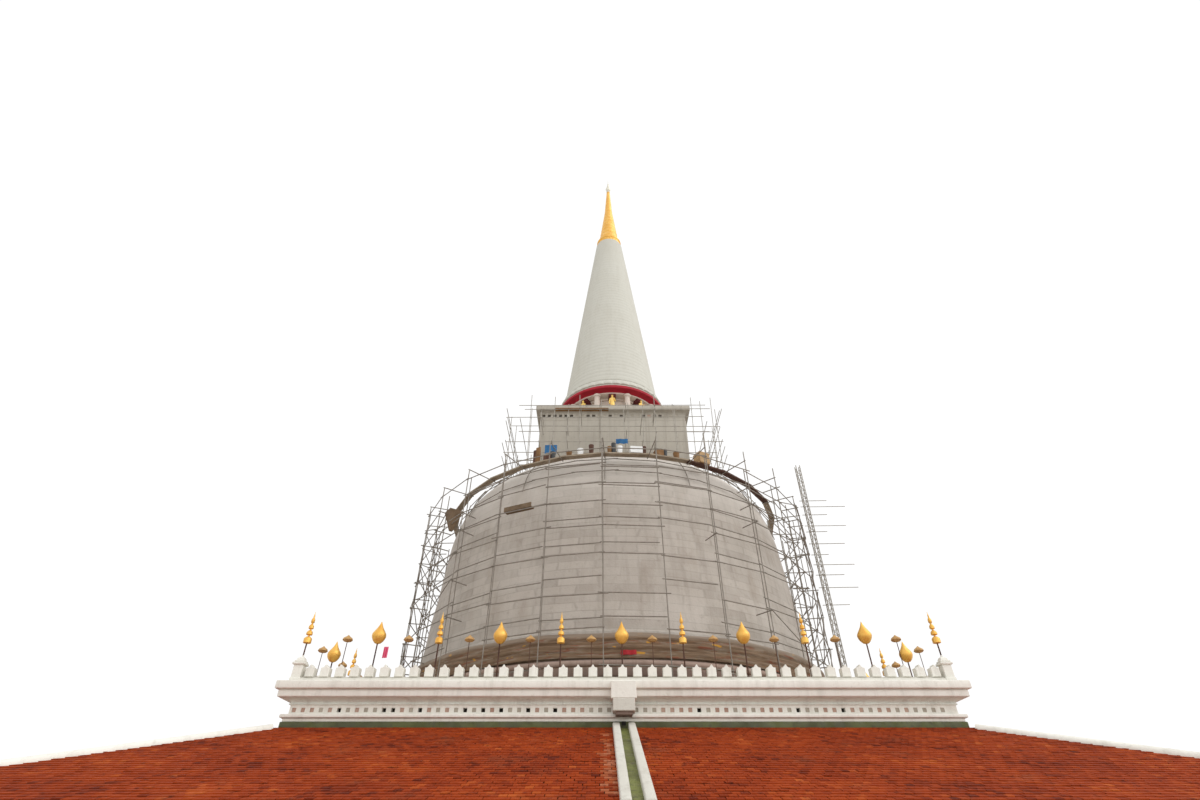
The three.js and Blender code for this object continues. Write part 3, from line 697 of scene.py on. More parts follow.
string_half, string_low, string_top = reach("string_course"), foot("string_course"), top("string_course")
STRING_LIFT = 0.05  # the green course under it reaches up behind its foot
string_foot = string_low + STRING_LIFT
string_step = string_foot + 0.5 * (string_top - string_foot)
STRING_SET_BACK = 0.09
string_lower = band(string_half - STRING_SET_BACK, string_foot, string_step)
string_steps = [string_lower, band(string_half, string_step, string_top)]
add_piece("string_moulding", squared(np.vstack(string_steps)), [limewash], ["string_course"])

# %% Cornice
CORNICE = {"half": reach("terrace_paving") + 0.2, "lip": 6.32, "top": top("terrace_paving") - 0.02}
FASCIA = {"half": 11.84, "low": 6.08}
SPOUT = {
    "half": 0.43, "foot_half": 0.37, "foot": 5.57, "middle": 5.95, "top": 6.5,
    "front": -12.25, "back": -11.68,
}  # fmt: skip
cornice_foot = top("frieze")
frieze_half = reach("frieze")
cornice_profile = np.vstack(
    [
        roll(frieze_half + 0.02, cornice_foot, cornice_foot + 0.06, 0.04),
        hollow(frieze_half + 0.02, cornice_foot + 0.07, FASCIA["half"] - 0.1, FASCIA["low"] - 0.02),
        band(FASCIA["half"], FASCIA["low"], CORNICE["lip"] - 0.03),
        [[FASCIA["half"] - 0.04, CORNICE["lip"] - 0.01]],
        band(CORNICE["half"], CORNICE["lip"], CORNICE["top"]),
    ]
)


def spout_part(half, low, high):
    """A part of the spout block, a bevelled block from its front to its back."""
    outline = [[-half, low], [half, low], [half, high], [-half, high]]
    return prism(outline, SPOUT["front"], SPOUT["back"], 0.02)


spout_foot = spout_part(SPOUT["foot_half"], SPOUT["foot"], SPOUT["middle"]).painted(1)
spout_head = spout_part(SPOUT["half"], SPOUT["middle"], SPOUT["top"])
spouts = four_sides(join(spout_foot, spout_head))
# Painted light: the faces from the cornice's foot up to the fascia take the cooler, brighter limewash,
# against the roof's pink bounce.
cornice_shape = painted_between(squared(cornice_profile), cornice_foot, FASCIA["low"], 2)
cornice_finishes = [limewash, worn_limewash, painted_light_limewash]
add_piece("cornice_moulding", join(cornice_shape, spouts), cornice_finishes, ["cornice"])

# %% [markdown]
# ### Pierced bands
# A row of small square holes airs the masonry. Some are open and dark, and more are stopped with a clay
# or a grey plug. One cell is a block with a recess in its face: a ring of points on the block's edge,
# then a ring on the hole, then one at its bottom. The row is that cell, copied.

# %% Pierced band
UNIT_SQUARE = np.array([[-1, -1], [1, -1], [1, 1], [-1, 1]])
PLUGS = {"open": (1, 0.16), "clay": (2, 0.03), "grey": (3, 0.02)}  # paint and depth of each kind of hole


def pierced_cell(width, height, hole, kind, back):
    """A block whose front, at y = 0, has a square recess: outer ring, hole ring, recess floor."""
    paint, depth = PLUGS[kind]
    edge, inner = UNIT_SQUARE * [width / 2, height / 2], UNIT_SQUARE * hole
    shape = carried([(edge, back), (edge, 0.0), (inner, 0.0), (inner, depth)])
    floor_face = shape.faces[-1][0]
    return Shape(shape.points, shape.faces[:-1] + [(floor_face, paint)])


def pierced_row(half, low, high, pitch, hole, thick, shares):
    """One side's row of cells between two heights; the shares of open and clay-stopped holes are given."""
    count = round((2 * half - thick) / pitch)
    width = (2 * half - thick) / count
    x = -half + (np.arange(count) + 0.5) * width
    places = np.column_stack([x, np.full(count, -half), np.full(count, (low + high) / 2)])
    kind = np.searchsorted(np.cumsum(shares), np.random.default_rng(count).random(count))
    rows = []
    for i, name in enumerate(PLUGS):
        spots = places[kind == i]
        if len(spots):
            rows.append(copies(pierced_cell(width, high - low, hole, name, thick), spots))
    return join(*rows)


frieze_cells = {"pitch": 0.308, "hole": 0.07, "thick": 0.35, "shares": (0.12, 0.45)}
frieze_row = pierced_row(frieze_half, foot("frieze"), top("frieze"), **frieze_cells)
frieze_finishes = [limewash, hole_shade, clay_plug, grey_plug]
add_piece("frieze_holes", four_sides(frieze_row), frieze_finishes, ["frieze"])

# %% [markdown]
# ## The parapet
# Merlons with a small peak stand over a grey joint on a low kerb, with a taller pier at each corner. A
# merlon's outline is upright to its shoulder and then sweeps in to its peak; carried through the wall's
# thickness with a small bevel, it is one leaf, and the parapet is its copies.

# %% Parapet
PARAPET_OUTER = 11.62
PARAPET_THICK = 0.3
PIER = {"outer": 11.67, "half": 0.18, "top": 7.5}
MERLONS = 43
MERLON = {"half": 0.152, "foot": 6.76, "shoulder": 7.06, "tip": 7.16}
KERB = {"top": 6.7, "out": 0.02}
JOINT_SET_BACK = 0.06
parapet_foot = foot("parapet_front")
row_reach = PIER["outer"] - 2 * PIER["half"]
merlon_pitch = 2 * row_reach / MERLONS


def merlon_outline():
    """Upright sides, then a half width of w (1 - t^0.28) from the shoulder to the tip."""
    t = np.linspace(0, 1, 10)[:-1] ** 4
    half = MERLON["half"] * (1 - t**0.28)
    height = MERLON["shoulder"] + (MERLON["tip"] - MERLON["shoulder"]) * t / t[-1]
    right = np.column_stack([half, height])
    feet = [[-MERLON["half"], MERLON["foot"]], [MERLON["half"], MERLON["foot"]]]
    return np.vstack([feet, right, right[::-1] * [-1, 1]])


def corner_pier():
    """A square shaft with a stepped cap that ends in a blunt point."""
    size, high = PIER["half"], PIER["top"]
    profile = [
        *band(size, parapet_foot, parapet_foot + 0.14, 0.015),
        *band(size - 0.02, parapet_foot + 0.14, high - 0.36, 0.01),
        *band(size * 1.2, high - 0.34, high - 0.26, 0.02),
        *band(size, high - 0.25, high - 0.2, 0.015),
        *hollow(size * 0.75, high - 0.2, size * 0.2, high - 0.06),
        [0.03, high],
    ]
    return squared(profile, 0.015, 1)


merlon_x = -row_reach + (np.arange(MERLONS) + 0.5) * merlon_pitch
merlon = prism(merlon_outline(), -PARAPET_OUTER, -PARAPET_OUTER + PARAPET_THICK, 0.015)
merlons = copies(merlon, np.column_stack([merlon_x, 0 * merlon_x, 0 * merlon_x]))
parapet_back = -PARAPET_OUTER + PARAPET_THICK
kerb_low = [-row_reach, -PARAPET_OUTER - KERB["out"], parapet_foot]
kerb = boxes(kerb_low, [row_reach, parapet_back + KERB["out"], KERB["top"]])
joint_low = [-row_reach, JOINT_SET_BACK - PARAPET_OUTER, KERB["top"]]
joint = boxes(joint_low, [row_reach, parapet_back, MERLON["foot"]]).painted(1)
pier_centre = PIER["outer"] - PIER["half"]
parapet_side = join(kerb, joint, merlons, corner_pier().moved(-pier_centre, -pier_centre))
add_each_side("merlons", parapet_side, [limewash, worn_limewash], "parapet")

# %% [markdown]
# ### Gilded ornaments
# Thin posts rise from the parapet and from its corners and carry a gilded bud or a small umbrella of
# shrinking tiers, in turn, with a small dull bud between each two. All are profiles turned round their
# own post.

# %% Ornaments on posts
BUD = [
    (0.03, 7.9), (0.11, 7.93), (0.17, 7.99), (0.2, 8.03), (0.235, 8.1), (0.257, 8.18), (0.248, 8.25),
    (0.2, 8.33), (0.145, 8.41), (0.1, 8.48), (0.066, 8.55), (0.036, 8.62), (0.008, 8.7),
]  # fmt: skip
SMALL_BUD = [(0.02, 7.97), (0.13, 7.99), (0.19, 8.04), (0.16, 8.1), (0.07, 8.16), (0.006, 8.22)]
UMBRELLA_TIERS = [(0.14, 7.9, 8.16), (0.11, 8.19, 8.38), (0.088, 8.41, 8.6), (0.064, 8.63, 8.84)]
ORNAMENT_PITCH = 2.23
ORNAMENTS_EACH_WAY = 4
POST_RADIUS = 0.026
THIN_POST_RADIUS = 0.014
post_line = -PARAPET_OUTER + PARAPET_THICK / 2


def umbrella_profile():
    """Tiers like fat drums with a narrow stem between them, then a spike."""
    stem = 0.03
    points = []
    for radius, low, high in UMBRELLA_TIERS:
        points += [(stem, low), (radius, low + 0.03), (radius, high - 0.08)]
        points += [(radius * 0.6, high - 0.02), (stem, high)]
    return points + [(0.022, 8.86), (0.028, 8.9), (0.012, 8.97), (0.004, 9.06)]


ornament_index = np.arange(-ORNAMENTS_EACH_WAY, ORNAMENTS_EACH_WAY + 2)
is_corner = ornament_index > ORNAMENTS_EACH_WAY
ornament_x = np.where(is_corner, -pier_centre, ornament_index * ORNAMENT_PITCH)
ornament_y = np.where(is_corner, -pier_centre, post_line)
ornament_places = np.column_stack([ornament_x, ornament_y, 0 * ornament_x])
buds = copies(revolved(BUD, 14), ornament_places[ornament_index % 2 == 0])
umbrellas = copies(revolved(umbrella_profile(), 12), ornament_places[ornament_index % 2 == 1])
between_x = (np.arange(-ORNAMENTS_EACH_WAY - 1, ORNAMENTS_EACH_WAY + 1) + 0.5) * ORNAMENT_PITCH
between_places = np.column_stack([between_x, np.full(len(between_x), post_line), 0 * between_x])
small_buds = copies(revolved(SMALL_BUD, 8), between_places).painted(1)
ornaments = four_sides(join(buds, umbrellas, small_buds))
add_piece("gilded_ornaments", ornaments, [gold_leaf, dull_gold], crease=50)
post_foot = (0, 0, MERLON["foot"])
post_head = (0, 0, BUD[0][1] + 0.02)
thin_head = (0, 0, SMALL_BUD[0][1] + 0.02)
posts = tubes(ornament_places + post_foot, ornament_places + post_head, POST_RADIUS, 8)
thin_posts = tubes(between_places + post_foot, between_places + thin_head, THIN_POST_RADIUS, 6)
add_piece("ornament_posts", four_sides(join(posts, thin_posts)), [dark_wood])

# %% [markdown]
# ## Rings, cloth and bell
# The bell stands on three rings. Their profiles are turned with many sides, because these are the
# largest round edges in view. The bell's side leans in by a small share of its height and its shoulder
# is a superellipse, squarer than a circle, as old bells of this kind are.

# %% Rings
lower_reach, lower_foot, lower_top = reach("lower_ring"), foot("lower_ring"), top("lower_ring")
# The heights where the lower ring's mouldings end.
LOWER_RING = {"light": 6.97, "groove": 7.02, "mauve": 7.34, "roll": 7.4}
lower_profile = [
    *band(lower_reach, lower_foot, LOWER_RING["light"]),
    *[(lower_reach - 0.1, LOWER_RING["light"] + 0.01), (lower_reach - 0.1, LOWER_RING["groove"] - 0.01)],
    *band(lower_reach - 0.03, LOWER_RING["groove"], LOWER_RING["mauve"]),
    *[(lower_reach - 0.16, LOWER_RING["mauve"] + 0.01), (lower_reach - 0.16, LOWER_RING["roll"] - 0.01)],
    *roll(lower_reach - 0.14, LOWER_RING["roll"], lower_top - 0.03, 0.11),
    (lower_reach - 0.15, lower_top),
]
# Painted shade: the lower ring stands in the parapet's shadow, so the band from the groove up to the mauve
# height is painted dark brown, and its two grooves brown.
lower_shape = painted_between(revolved(lower_profile), LOWER_RING["groove"], LOWER_RING["mauve"], 1)
for low, high in ((LOWER_RING["light"], LOWER_RING["groove"]), (LOWER_RING["mauve"], LOWER_RING["roll"])):
    lower_shape = painted_between(lower_shape, low, high, 2)
lower_finishes = [mauve_plaster, dark_brown_plaster, stained_plaster]
add_piece("lower_ring_moulding", lower_shape, lower_finishes, ["lower_ring"])
middle_reach, middle_foot, middle_top = reach("middle_ring"), foot("middle_ring"), top("middle_ring")
middle_roll = roll(middle_reach - 0.12, middle_foot + 0.02, middle_top - 0.02, 0.11, 12)
middle_profile = [[middle_reach - 0.14, middle_foot], *middle_roll, [middle_reach - 0.14, middle_top]]
middle_shape = revolved(middle_profile)
add_piece("middle_ring_moulding", middle_shape, [stained_plaster], ["middle_ring"])

# %% [markdown]
# ### The cloth round the middle ring
# Three lengths of brown tarpaulin are pulled round the middle ring and tied. They sag between their
# ties, so the folds run level. A cloth is a grid of points over its length and its drop, and the radius
# has a few sine waves that run up the drop and drift along the length. The grid is then moved half its
# thickness each way.

# %% Thin cloth


def thin_cloth(points, thick=0.016):
    """A grid of points as closed cloth: moved both ways along its normals, with all four edges joined."""
    normal = np.cross(np.gradient(points, axis=1), np.gradient(points, axis=0))
    normal /= np.linalg.norm(normal, axis=2)[:, :, None]
    loop = np.concatenate([points + normal * thick / 2, (points - normal * thick / 2)[:, ::-1]], 1)
    rows, columns = points.shape[:2]
    shape = grid(loop, wrap_columns=True)
    i = np.arange(columns - 1)
    last = np.stack([i, i + 1, 2 * columns - 2 - i, 2 * columns - 1 - i], -1)
    ends = np.concatenate([last[:, ::-1], last + (rows - 1) * 2 * columns])
    return Shape(shape.points, [*shape.faces, (ends, 0)])


def cloth_cut(rows, columns, length, drop):
    """Where each point of thin_cloth's grid lies on the flat cloth, in metres."""
    along, down = np.meshgrid(np.linspace(0, length, columns), np.linspace(drop, 0, rows))
    flat = np.stack([along, down], -1)
    return np.concatenate([flat, flat[:, ::-1]], 1).reshape(-1, 2)


def add_cloth(name, points, material):
    """Puts a grid into the scene as one sheet; its flat size is its longest row by its longest column."""
    step_across = np.linalg.norm(np.diff(points, axis=1), axis=2).sum(1).max() * SCALE
    step_down = np.linalg.norm(np.diff(points, axis=0), axis=2).sum(0).max() * SCALE
    rows, columns = points.shape[:2]
    cut = cloth_cut(rows, columns, step_across, step_down)
    piece = add_piece(name, thin_cloth(points), [material], crease=80, cut=cut)
    return piece


# %% Cloth round the middle ring
BAND_CLOTH = {"low": 7.68, "high": 8.58, "radius": 10.5, "lengths": 3, "overlap": 1.5}


def band_cloth_points(number):
    """One length: the radius and the height of each point swell and sink in level waves."""
    share = FULL / BAND_CLOTH["lengths"]
    end = (number + 1) * share + math.radians(BAND_CLOTH["overlap"])
    angle = np.linspace(number * share, end, 190)[None]
    climb = np.linspace(0, 1, 30)[:, None]
    drift = np.sin(5 * angle + 2 * number) + 0.6 * np.sin(13 * angle + 1)
    folds = 0.026 * np.sin(FULL * 2.6 * climb + 1.3 * drift)
    folds += 0.016 * np.sin(FULL * 5.3 * climb - 2.1 * drift + 1)
    sag = 0.03 * np.sin(9 * angle) * (1 - climb) + 0.02 * np.sin(17 * angle + 2) * climb
    swell = folds * np.sin(math.pi * np.clip(climb, 0.12, 0.9))
    radius = BAND_CLOTH["radius"] + 0.01 + swell + 0.012 * number
    height = BAND_CLOTH["low"] + (BAND_CLOTH["high"] - BAND_CLOTH["low"]) * climb + sag
    return round_points(radius, angle, height)


for number in range(BAND_CLOTH["lengths"]):
    add_cloth(
        f"ring_cloth_{number + 1}", band_cloth_points(number), brown_cloth,
    )  # fmt: skip

# %% Bell
BELL = {
    "foot": 10.12, "foot_z": 8.8, "radius": 9.68, "spring": 13.4, "rise": 5.97, "lean": 0.096, "power": 4,
}  # fmt: skip
bell_crown = top("bell")


def bell_radius_and_height(last_share=1.0, steps=56):
    """The leaning side, then radius (1 - lean climb) cos^(2/p) and climb = rise sin^(2/p)."""
    share = min((bell_crown - BELL["spring"]) / BELL["rise"], 1) * last_share
    turn = np.linspace(0, 1, steps) ** 0.75 * math.asin(share ** (BELL["power"] / 2))
    climb = BELL["rise"] * np.sin(turn) ** (2 / BELL["power"])
    radius = (BELL["radius"] - BELL["lean"] * climb) * np.cos(turn) ** (2 / BELL["power"])
    side = np.linspace(0, 1, 12)[:-1]
    side_radius = BELL["foot"] + (BELL["radius"] - BELL["foot"]) * side
    side_height = BELL["foot_z"] + (BELL["spring"] - BELL["foot_z"]) * side
    return np.concatenate([side_radius, radius]), np.concatenate([side_height, BELL["spring"] + climb])


def hand_plastered(points, depth):
    """Pushes a round wall in and out by slow waves round it and up it, as hand plaster is never true."""
    x, y, z = points.T
    angle = np.arctan2(y, x)
    wave = np.sin(7 * angle + 0.9 * z) + np.sin(13 * angle - 1.7 * z + 1)
    wave += np.sin(3.1 * z + 2 * np.sin(5 * angle))
    share = 1 - depth * (1.5 - wave / 2) / np.maximum(np.hypot(x, y), 1)
    return np.column_stack([x * share, y * share, z])


bell_foot_ring = band(reach("bell"), foot("bell"), BELL["foot_z"], 0.04)
bell_shape = revolved(np.vstack([bell_foot_ring, np.column_stack(bell_radius_and_height())]))
bell_shape.points = hand_plastered(bell_shape.points, 0.02)
add_piece("bell_wall", bell_shape, [bell_plaster], ["bell"])

# %% [markdown]
# ## The throne
# The square block over the bell: a base step, a plain die, and a cap whose neck has a row of putlog
# holes under a cove and an upright lip.

# %% Throne
base_half, base_low, base_top = reach("throne_base"), foot("throne_base"), top("throne_base")
UPPER_STEP = {"height": 0.25, "set_back": 0.15}
step_foot = base_top - UPPER_STEP["height"]
base_steps = [band(base_half, base_low, step_foot)]
base_steps += [band(base_half - UPPER_STEP["set_back"], step_foot, base_top)]
add_piece("throne_step", squared(np.vstack(base_steps)), [old_limewash], ["throne_base"])
die_half, die_low, die_top = reach("throne_die"), foot("throne_die"), top("throne_die")
DIE_PLINTH = {"height": 0.3, "out": 0.06}
plinth_top = die_low + DIE_PLINTH["height"]
die_foot = band(die_half, die_low, plinth_top)
die_profile = np.vstack([die_foot, band(die_half - DIE_PLINTH["out"], plinth_top, die_top)])
add_piece("throne_block", squared(die_profile), [old_limewash], ["throne_die"])
CAP = {"neck": 4.42, "holes": 23.18, "frieze": 23.46, "lip": 23.58}
cap_half, cap_low, cap_top = reach("throne_cap"), foot("throne_cap"), top("throne_cap")
cap_core = np.vstack(
    [
        band(CAP["neck"], cap_low, CAP["holes"], 0.02),
        [[CAP["neck"] - 0.35, CAP["holes"]], [CAP["neck"] - 0.35, CAP["frieze"]]],
        hollow(CAP["neck"], CAP["frieze"], cap_half - 0.05, CAP["lip"]),
        band(cap_half, CAP["lip"], cap_top),
    ]
)
cap_cells = {"pitch": 0.34, "hole": 0.1, "thick": 0.34, "shares": (0.4, 0.1)}
cap_holes = pierced_row(CAP["neck"], CAP["holes"], CAP["frieze"], **cap_cells)
cap_shape = join(squared(cap_core), four_sides(cap_holes))
cap_finishes = [old_limewash, hole_shade, clay_plug, grey_plug]
add_piece("throne_cap_moulding", cap_shape, cap_finishes, ["throne_cap"])

# %% [markdown]
# ## Drum, columns, figures and canopy
# Ten short columns stand round a drum under the red canopy, with a gilded walking figure on the step in
# each gap. The figures are of a traditional kind, robed and calm, of this lesson's own proportions. A
# body is a stack of ellipses with their widths listed at a few heights.

# %% Drum and columns
drum_top = top("drum_columns")
DRUM = {"foot": 3.5, "foot_top": 24.3, "radius": 2.7}
DRUM_COLUMNS = 10
COLUMN_RING = 3.2
STEP = {"middle": 3.285, "half": 0.165, "half_height": 0.075}  # a low ring under columns and figures
drum_foot = foot("drum")
drum_profile = np.vstack(
    [
        band(DRUM["foot"], drum_foot, DRUM["foot_top"]),
        band(DRUM["radius"] + 0.08, DRUM["foot_top"], DRUM["foot_top"] + 0.12),
        band(DRUM["radius"] - 0.05, DRUM["foot_top"] + 0.12, drum_top - 0.15),
        band(DRUM["radius"] + 0.06, drum_top - 0.15, drum_top),
    ]
)
add_piece("drum_wall", revolved(drum_profile, 96), [beige_limewash], ["drum"])
column_foot = DRUM["foot_top"] + 0.15
column_profile = [
    *band(0.24, column_foot, column_foot + 0.1, 0.02),
    *roll(0.2, column_foot + 0.1, column_foot + 0.18, 0.03, 4),
    (0.2, column_foot + 0.2),
    (0.21, column_foot + 0.6),
    (0.17, drum_top - 0.22),
    *roll(0.17, drum_top - 0.22, drum_top - 0.15, 0.03, 4),
    *band(0.24, drum_top - 0.14, drum_top, 0.02),
]
column_ring = round_copies(revolved(column_profile, 20).moved(0, -COLUMN_RING), DRUM_COLUMNS, 0.5)
step_size = [STEP["half"], STEP["half_height"]]
step_ring = hollow_ring(UNIT_SQUARE * step_size + [STEP["middle"], column_foot - STEP["half_height"]], 96)
add_piece("drum_column_ring", join(column_ring, step_ring), [beige_limewash], ["drum_columns"])

# %% Walking figures
FIGURE_HEIGHT = 1.45
FIGURE_RING = 3.27
FIGURE_GIRTH = 1.2  # widths and depths below, times this
BODY = [  # share of the height, half width, half depth, sway to the side
    (0.0, 0.075, 0.06, 0.0), (0.03, 0.12, 0.08, 0.0), (0.06, 0.105, 0.07, 0.0), (0.2, 0.1, 0.07, 0.012),
    (0.4, 0.115, 0.075, 0.02), (0.5, 0.12, 0.08, 0.012), (0.58, 0.1, 0.068, 0.0),
    (0.68, 0.125, 0.075, -0.006), (0.76, 0.145, 0.072, -0.004), (0.8, 0.1, 0.06, 0.0),
    (0.825, 0.04, 0.04, 0.0), (0.845, 0.038, 0.04, 0.0),
]  # fmt: skip
HEAD = [  # share of the height, radius
    (0.84, 0.025), (0.86, 0.05), (0.885, 0.064), (0.915, 0.067), (0.94, 0.058), (0.955, 0.036),
    (0.965, 0.03), (0.98, 0.026), (1.0, 0.004),
]  # fmt: skip


def stack(rows, sides=20):
    """Ellipses (height, half width, half depth, sway), one over the other."""
    height, wide, deep, sway = np.asarray(rows, float).T[:, :, None]
    angle = np.arange(sides) / sides * FULL
    x, y = sway + wide * np.cos(angle), deep * np.sin(angle)
    return capped(np.stack(np.broadcast_arrays(x, y, height), -1))


def walking_figure():
    """Robed body, head with a topknot, and two arms, one bent with its hand raised."""
    girth = FIGURE_GIRTH
    body = stack([(h * FIGURE_HEIGHT, w * girth, d * girth, s) for h, w, d, s in BODY])
    head = stack([(h * FIGURE_HEIGHT, r * girth * 0.92, r * girth, 0) for h, r in HEAD], 16)
    nose = tubes([[0, -0.07, 0.918 * FIGURE_HEIGHT]], [[0, -0.09, 0.9 * FIGURE_HEIGHT]], 0.012, 6)
    shoulder, elbow, hand = 0.77 * FIGURE_HEIGHT, 0.6 * FIGURE_HEIGHT, 0.47 * FIGURE_HEIGHT
    starts = [[-0.15, 0, shoulder], [-0.19, 0, elbow], [0.15, 0, shoulder], [0.19, -0.02, elbow]]
    ends = [[-0.19, 0, elbow], [-0.18, -0.03, hand], [0.19, -0.02, elbow], [0.12, -0.14, shoulder - 0.05]]
    return join(body, head, nose, tubes(starts, ends, 0.042, 8))


figures = round_copies(walking_figure().moved(0, -FIGURE_RING, column_foot), DRUM_COLUMNS)
print("heads reach", round(column_foot + FIGURE_HEIGHT, 2), "under a canopy at", round(drum_top, 2))
# Painted light: the figures' gold is paler and brighter than the leaf elsewhere, against the canopy's
# shade.
add_piece("walking_figures", figures, [gold_with_painted_light], crease=60)

# %% Canopy
canopy_low, canopy_top, canopy_reach = drum_top, top("canopy"), reach("canopy")
CANOPY_INNER = 2.95
BRACKET = {"half": (0.24, 0.13), "near": 2.62, "far": 3.17}
canopy_profile = [
    (CANOPY_INNER, canopy_low),
    (CANOPY_INNER + 0.25, canopy_low + 0.03),
    *hollow(CANOPY_INNER + 0.25, canopy_low + 0.06, canopy_reach - 0.06, canopy_low + 0.2, 5),
    *band(canopy_reach, canopy_low + 0.2, canopy_top, 0.02),
]
bracket_outline = UNIT_SQUARE * BRACKET["half"] + [0, canopy_low - 0.05]
# The brackets are painted dark red: painted shade under the canopy.
bracket = prism(bracket_outline, -BRACKET["far"], -BRACKET["near"], 0.03).painted(1)
canopy_disc = painted_between(revolved(canopy_profile, 160), canopy_low - 0.1, canopy_low + 0.11, 2)
canopy_shape = join(canopy_disc, round_copies(bracket, DRUM_COLUMNS))
add_piece("red_canopy", canopy_shape, [red_paint, red_in_painted_shade, beige_limewash], ["canopy"])

# %% [markdown]
# ## The ringed cone
# Over the canopy a lotus moulding carries the cone. The petals are not separate pieces: the moulding's
# radius is pushed out by a pattern of the angle and the height, so the plaster stays one surface. The
# cone itself is a stack of shallow rings, each a flat arch on the sloping side.

# %% Lotus moulding
lotus_low, lotus_top, lotus_reach = foot("cone_foot"), top("cone_foot"), reach("cone_foot")
LOTUS = {"waist": 3.42, "petal_foot": 0.14, "petal_head": 0.62, "rise": 0.5, "neck": 0.66}
PETALS = 40


def petals(points, low, high, count, depth):
    """Adds depth times a pointed arch that repeats round the axis: 1 inside the petal, 0 in the gap."""
    x, y, z = points.T
    across = np.abs((np.arctan2(y, x) / FULL * count) % 1 - 0.5) * 2
    climb = np.clip((z - low) / (high - low), 0, 1)
    edge = 1 - climb**2.2
    inside = np.clip((edge - across) * 6, 0, 1) * (z > low + 1e-4) * (z < high - 1e-4)
    share = 1 + depth * inside * (1 - 0.5 * across**2) / np.hypot(x, y)
    return np.column_stack([x * share, y * share, z])


petal_foot, petal_head = lotus_low + LOTUS["petal_foot"], lotus_low + LOTUS["petal_head"]
lotus_share = np.linspace(0, 1, 14)
lotus_radius = lotus_reach - 0.07 - 0.2 * lotus_share**1.5
lotus_profile = [
    *band(lotus_reach - 0.1, lotus_low, lotus_low + 0.13, 0.03),
    *np.column_stack([lotus_radius, petal_foot + LOTUS["rise"] * lotus_share]),
    *band(LOTUS["waist"], lotus_low + LOTUS["neck"], lotus_top, 0.03),
]
lotus_shape = revolved(lotus_profile, PETALS * 10)
lotus_shape.points = petals(lotus_shape.points, petal_foot, petal_head, PETALS, 0.06)
add_piece("lotus_moulding", lotus_shape, [cone_limewash], ["cone_foot"])

# %% Cone
CONE_RINGS = 52
CONE_HEAD = 1.12
cone_low, cone_top, cone_reach = foot("ringed_cone"), top("ringed_cone"), reach("ringed_cone")


def cone_profile():
    """Each ring: the sloping side's radius, less a groove, plus a flat arch (sin t)^0.5."""
    edges = np.linspace(0, 1, CONE_RINGS + 1)
    t = np.linspace(0, 1, 6)
    share = (edges[:-1, None] + (edges[1:] - edges[:-1])[:, None] * t * 0.999).ravel()
    arch = np.tile(np.sin(np.pi * t) ** 0.5, CONE_RINGS)
    radius = cone_reach + (CONE_HEAD - cone_reach) * share
    groove = 0.004 + 0.004 * radius
    return np.column_stack([radius - groove * (1 - arch), cone_low + (cone_top - cone_low) * share])


cone_shape = revolved(cone_profile(), 120)
add_piece("cone_rings", cone_shape, [cone_limewash], ["ringed_cone"], crease=60)

# %% [markdown]
# ## The gilded tip
# A collar with a ring of petals, a slender spire of shrinking beads, and a pale metal finial of small
# balls.

# %% Gilded collar and spire
collar_low, collar_top, collar_reach = foot("gold_collar"), top("gold_collar"), reach("gold_collar")
COLLAR_NECK = 0.94
COLLAR_PETALS = 24
collar_flare = collar_reach - 0.04 - COLLAR_NECK
collar_profile = [
    *band(COLLAR_NECK, collar_low, collar_low + 0.12, 0.02),
    *[(COLLAR_NECK + collar_flare * t**0.6, collar_low + 0.13 + 0.3 * t) for t in np.linspace(0.02, 1, 10)],
    *band(collar_reach, collar_low + 0.44, collar_low + 0.58, 0.03),
    *roll(COLLAR_NECK - 0.06, collar_low + 0.58, collar_top, 0.08),
]
collar_shape = revolved(collar_profile, 120)
collar_petals = petals(collar_shape.points, collar_low + 0.13, collar_low + 0.43, COLLAR_PETALS, 0.03)
collar_shape.points = collar_petals
add_piece("gilded_collar", collar_shape, [gold_leaf], ["gold_collar"], crease=50)
SPIRE = {"low": 0.86, "middle": 0.36, "middle_z": 50.2, "high": 0.15}  # radii, and the middle's height
SPIRE_BEADS = 18
spire_low, spire_top = foot("gold_spire"), top("gold_spire")


def spire_profile():
    """Beads on a side that is straight to the middle height and straight again to the top."""
    t = np.linspace(0, 1, 6)
    edges = np.linspace(0, 1, SPIRE_BEADS + 1) ** 0.85
    share = (edges[:-1, None] + np.diff(edges)[:, None] * t * 0.999).ravel()
    height = spire_low + (spire_top - spire_low) * share
    heights = [spire_low, SPIRE["middle_z"], spire_top]
    side = np.interp(height, heights, [SPIRE["low"], SPIRE["middle"], SPIRE["high"]])
    return np.column_stack([side * (0.93 + 0.07 * np.tile(np.sin(np.pi * t) ** 0.6, SPIRE_BEADS)), height])


spire_shape = revolved(spire_profile(), 48)
add_piece("gilded_spire", spire_shape, [gold_leaf], ["gold_spire"], crease=60)
tip_low, tip_top = foot("spire_tip"), top("spire_tip")
FINIAL_BALLS = [  # neck, height of foot and of head over the finial's foot, bulge, steps
    (0.12, 0.02, 0.2, 0.05, 6), (0.08, 0.25, 0.85, 0.16, 10), (0.06, 0.9, 1.2, 0.06, 6),
    (0.04, 1.25, 1.45, 0.04, 6),
]  # fmt: skip
tip_profile = [(SPIRE["high"], tip_low)]
for neck, low, high, bulge, steps in FINIAL_BALLS:
    tip_profile += [*roll(neck, tip_low + low, tip_low + high, bulge, steps)]
tip_profile += [(0.03, tip_low + 1.5), (0.012, tip_top)]
add_piece("finial", revolved(tip_profile, 32), [pale_metal], ["spire_tip"], crease=60)

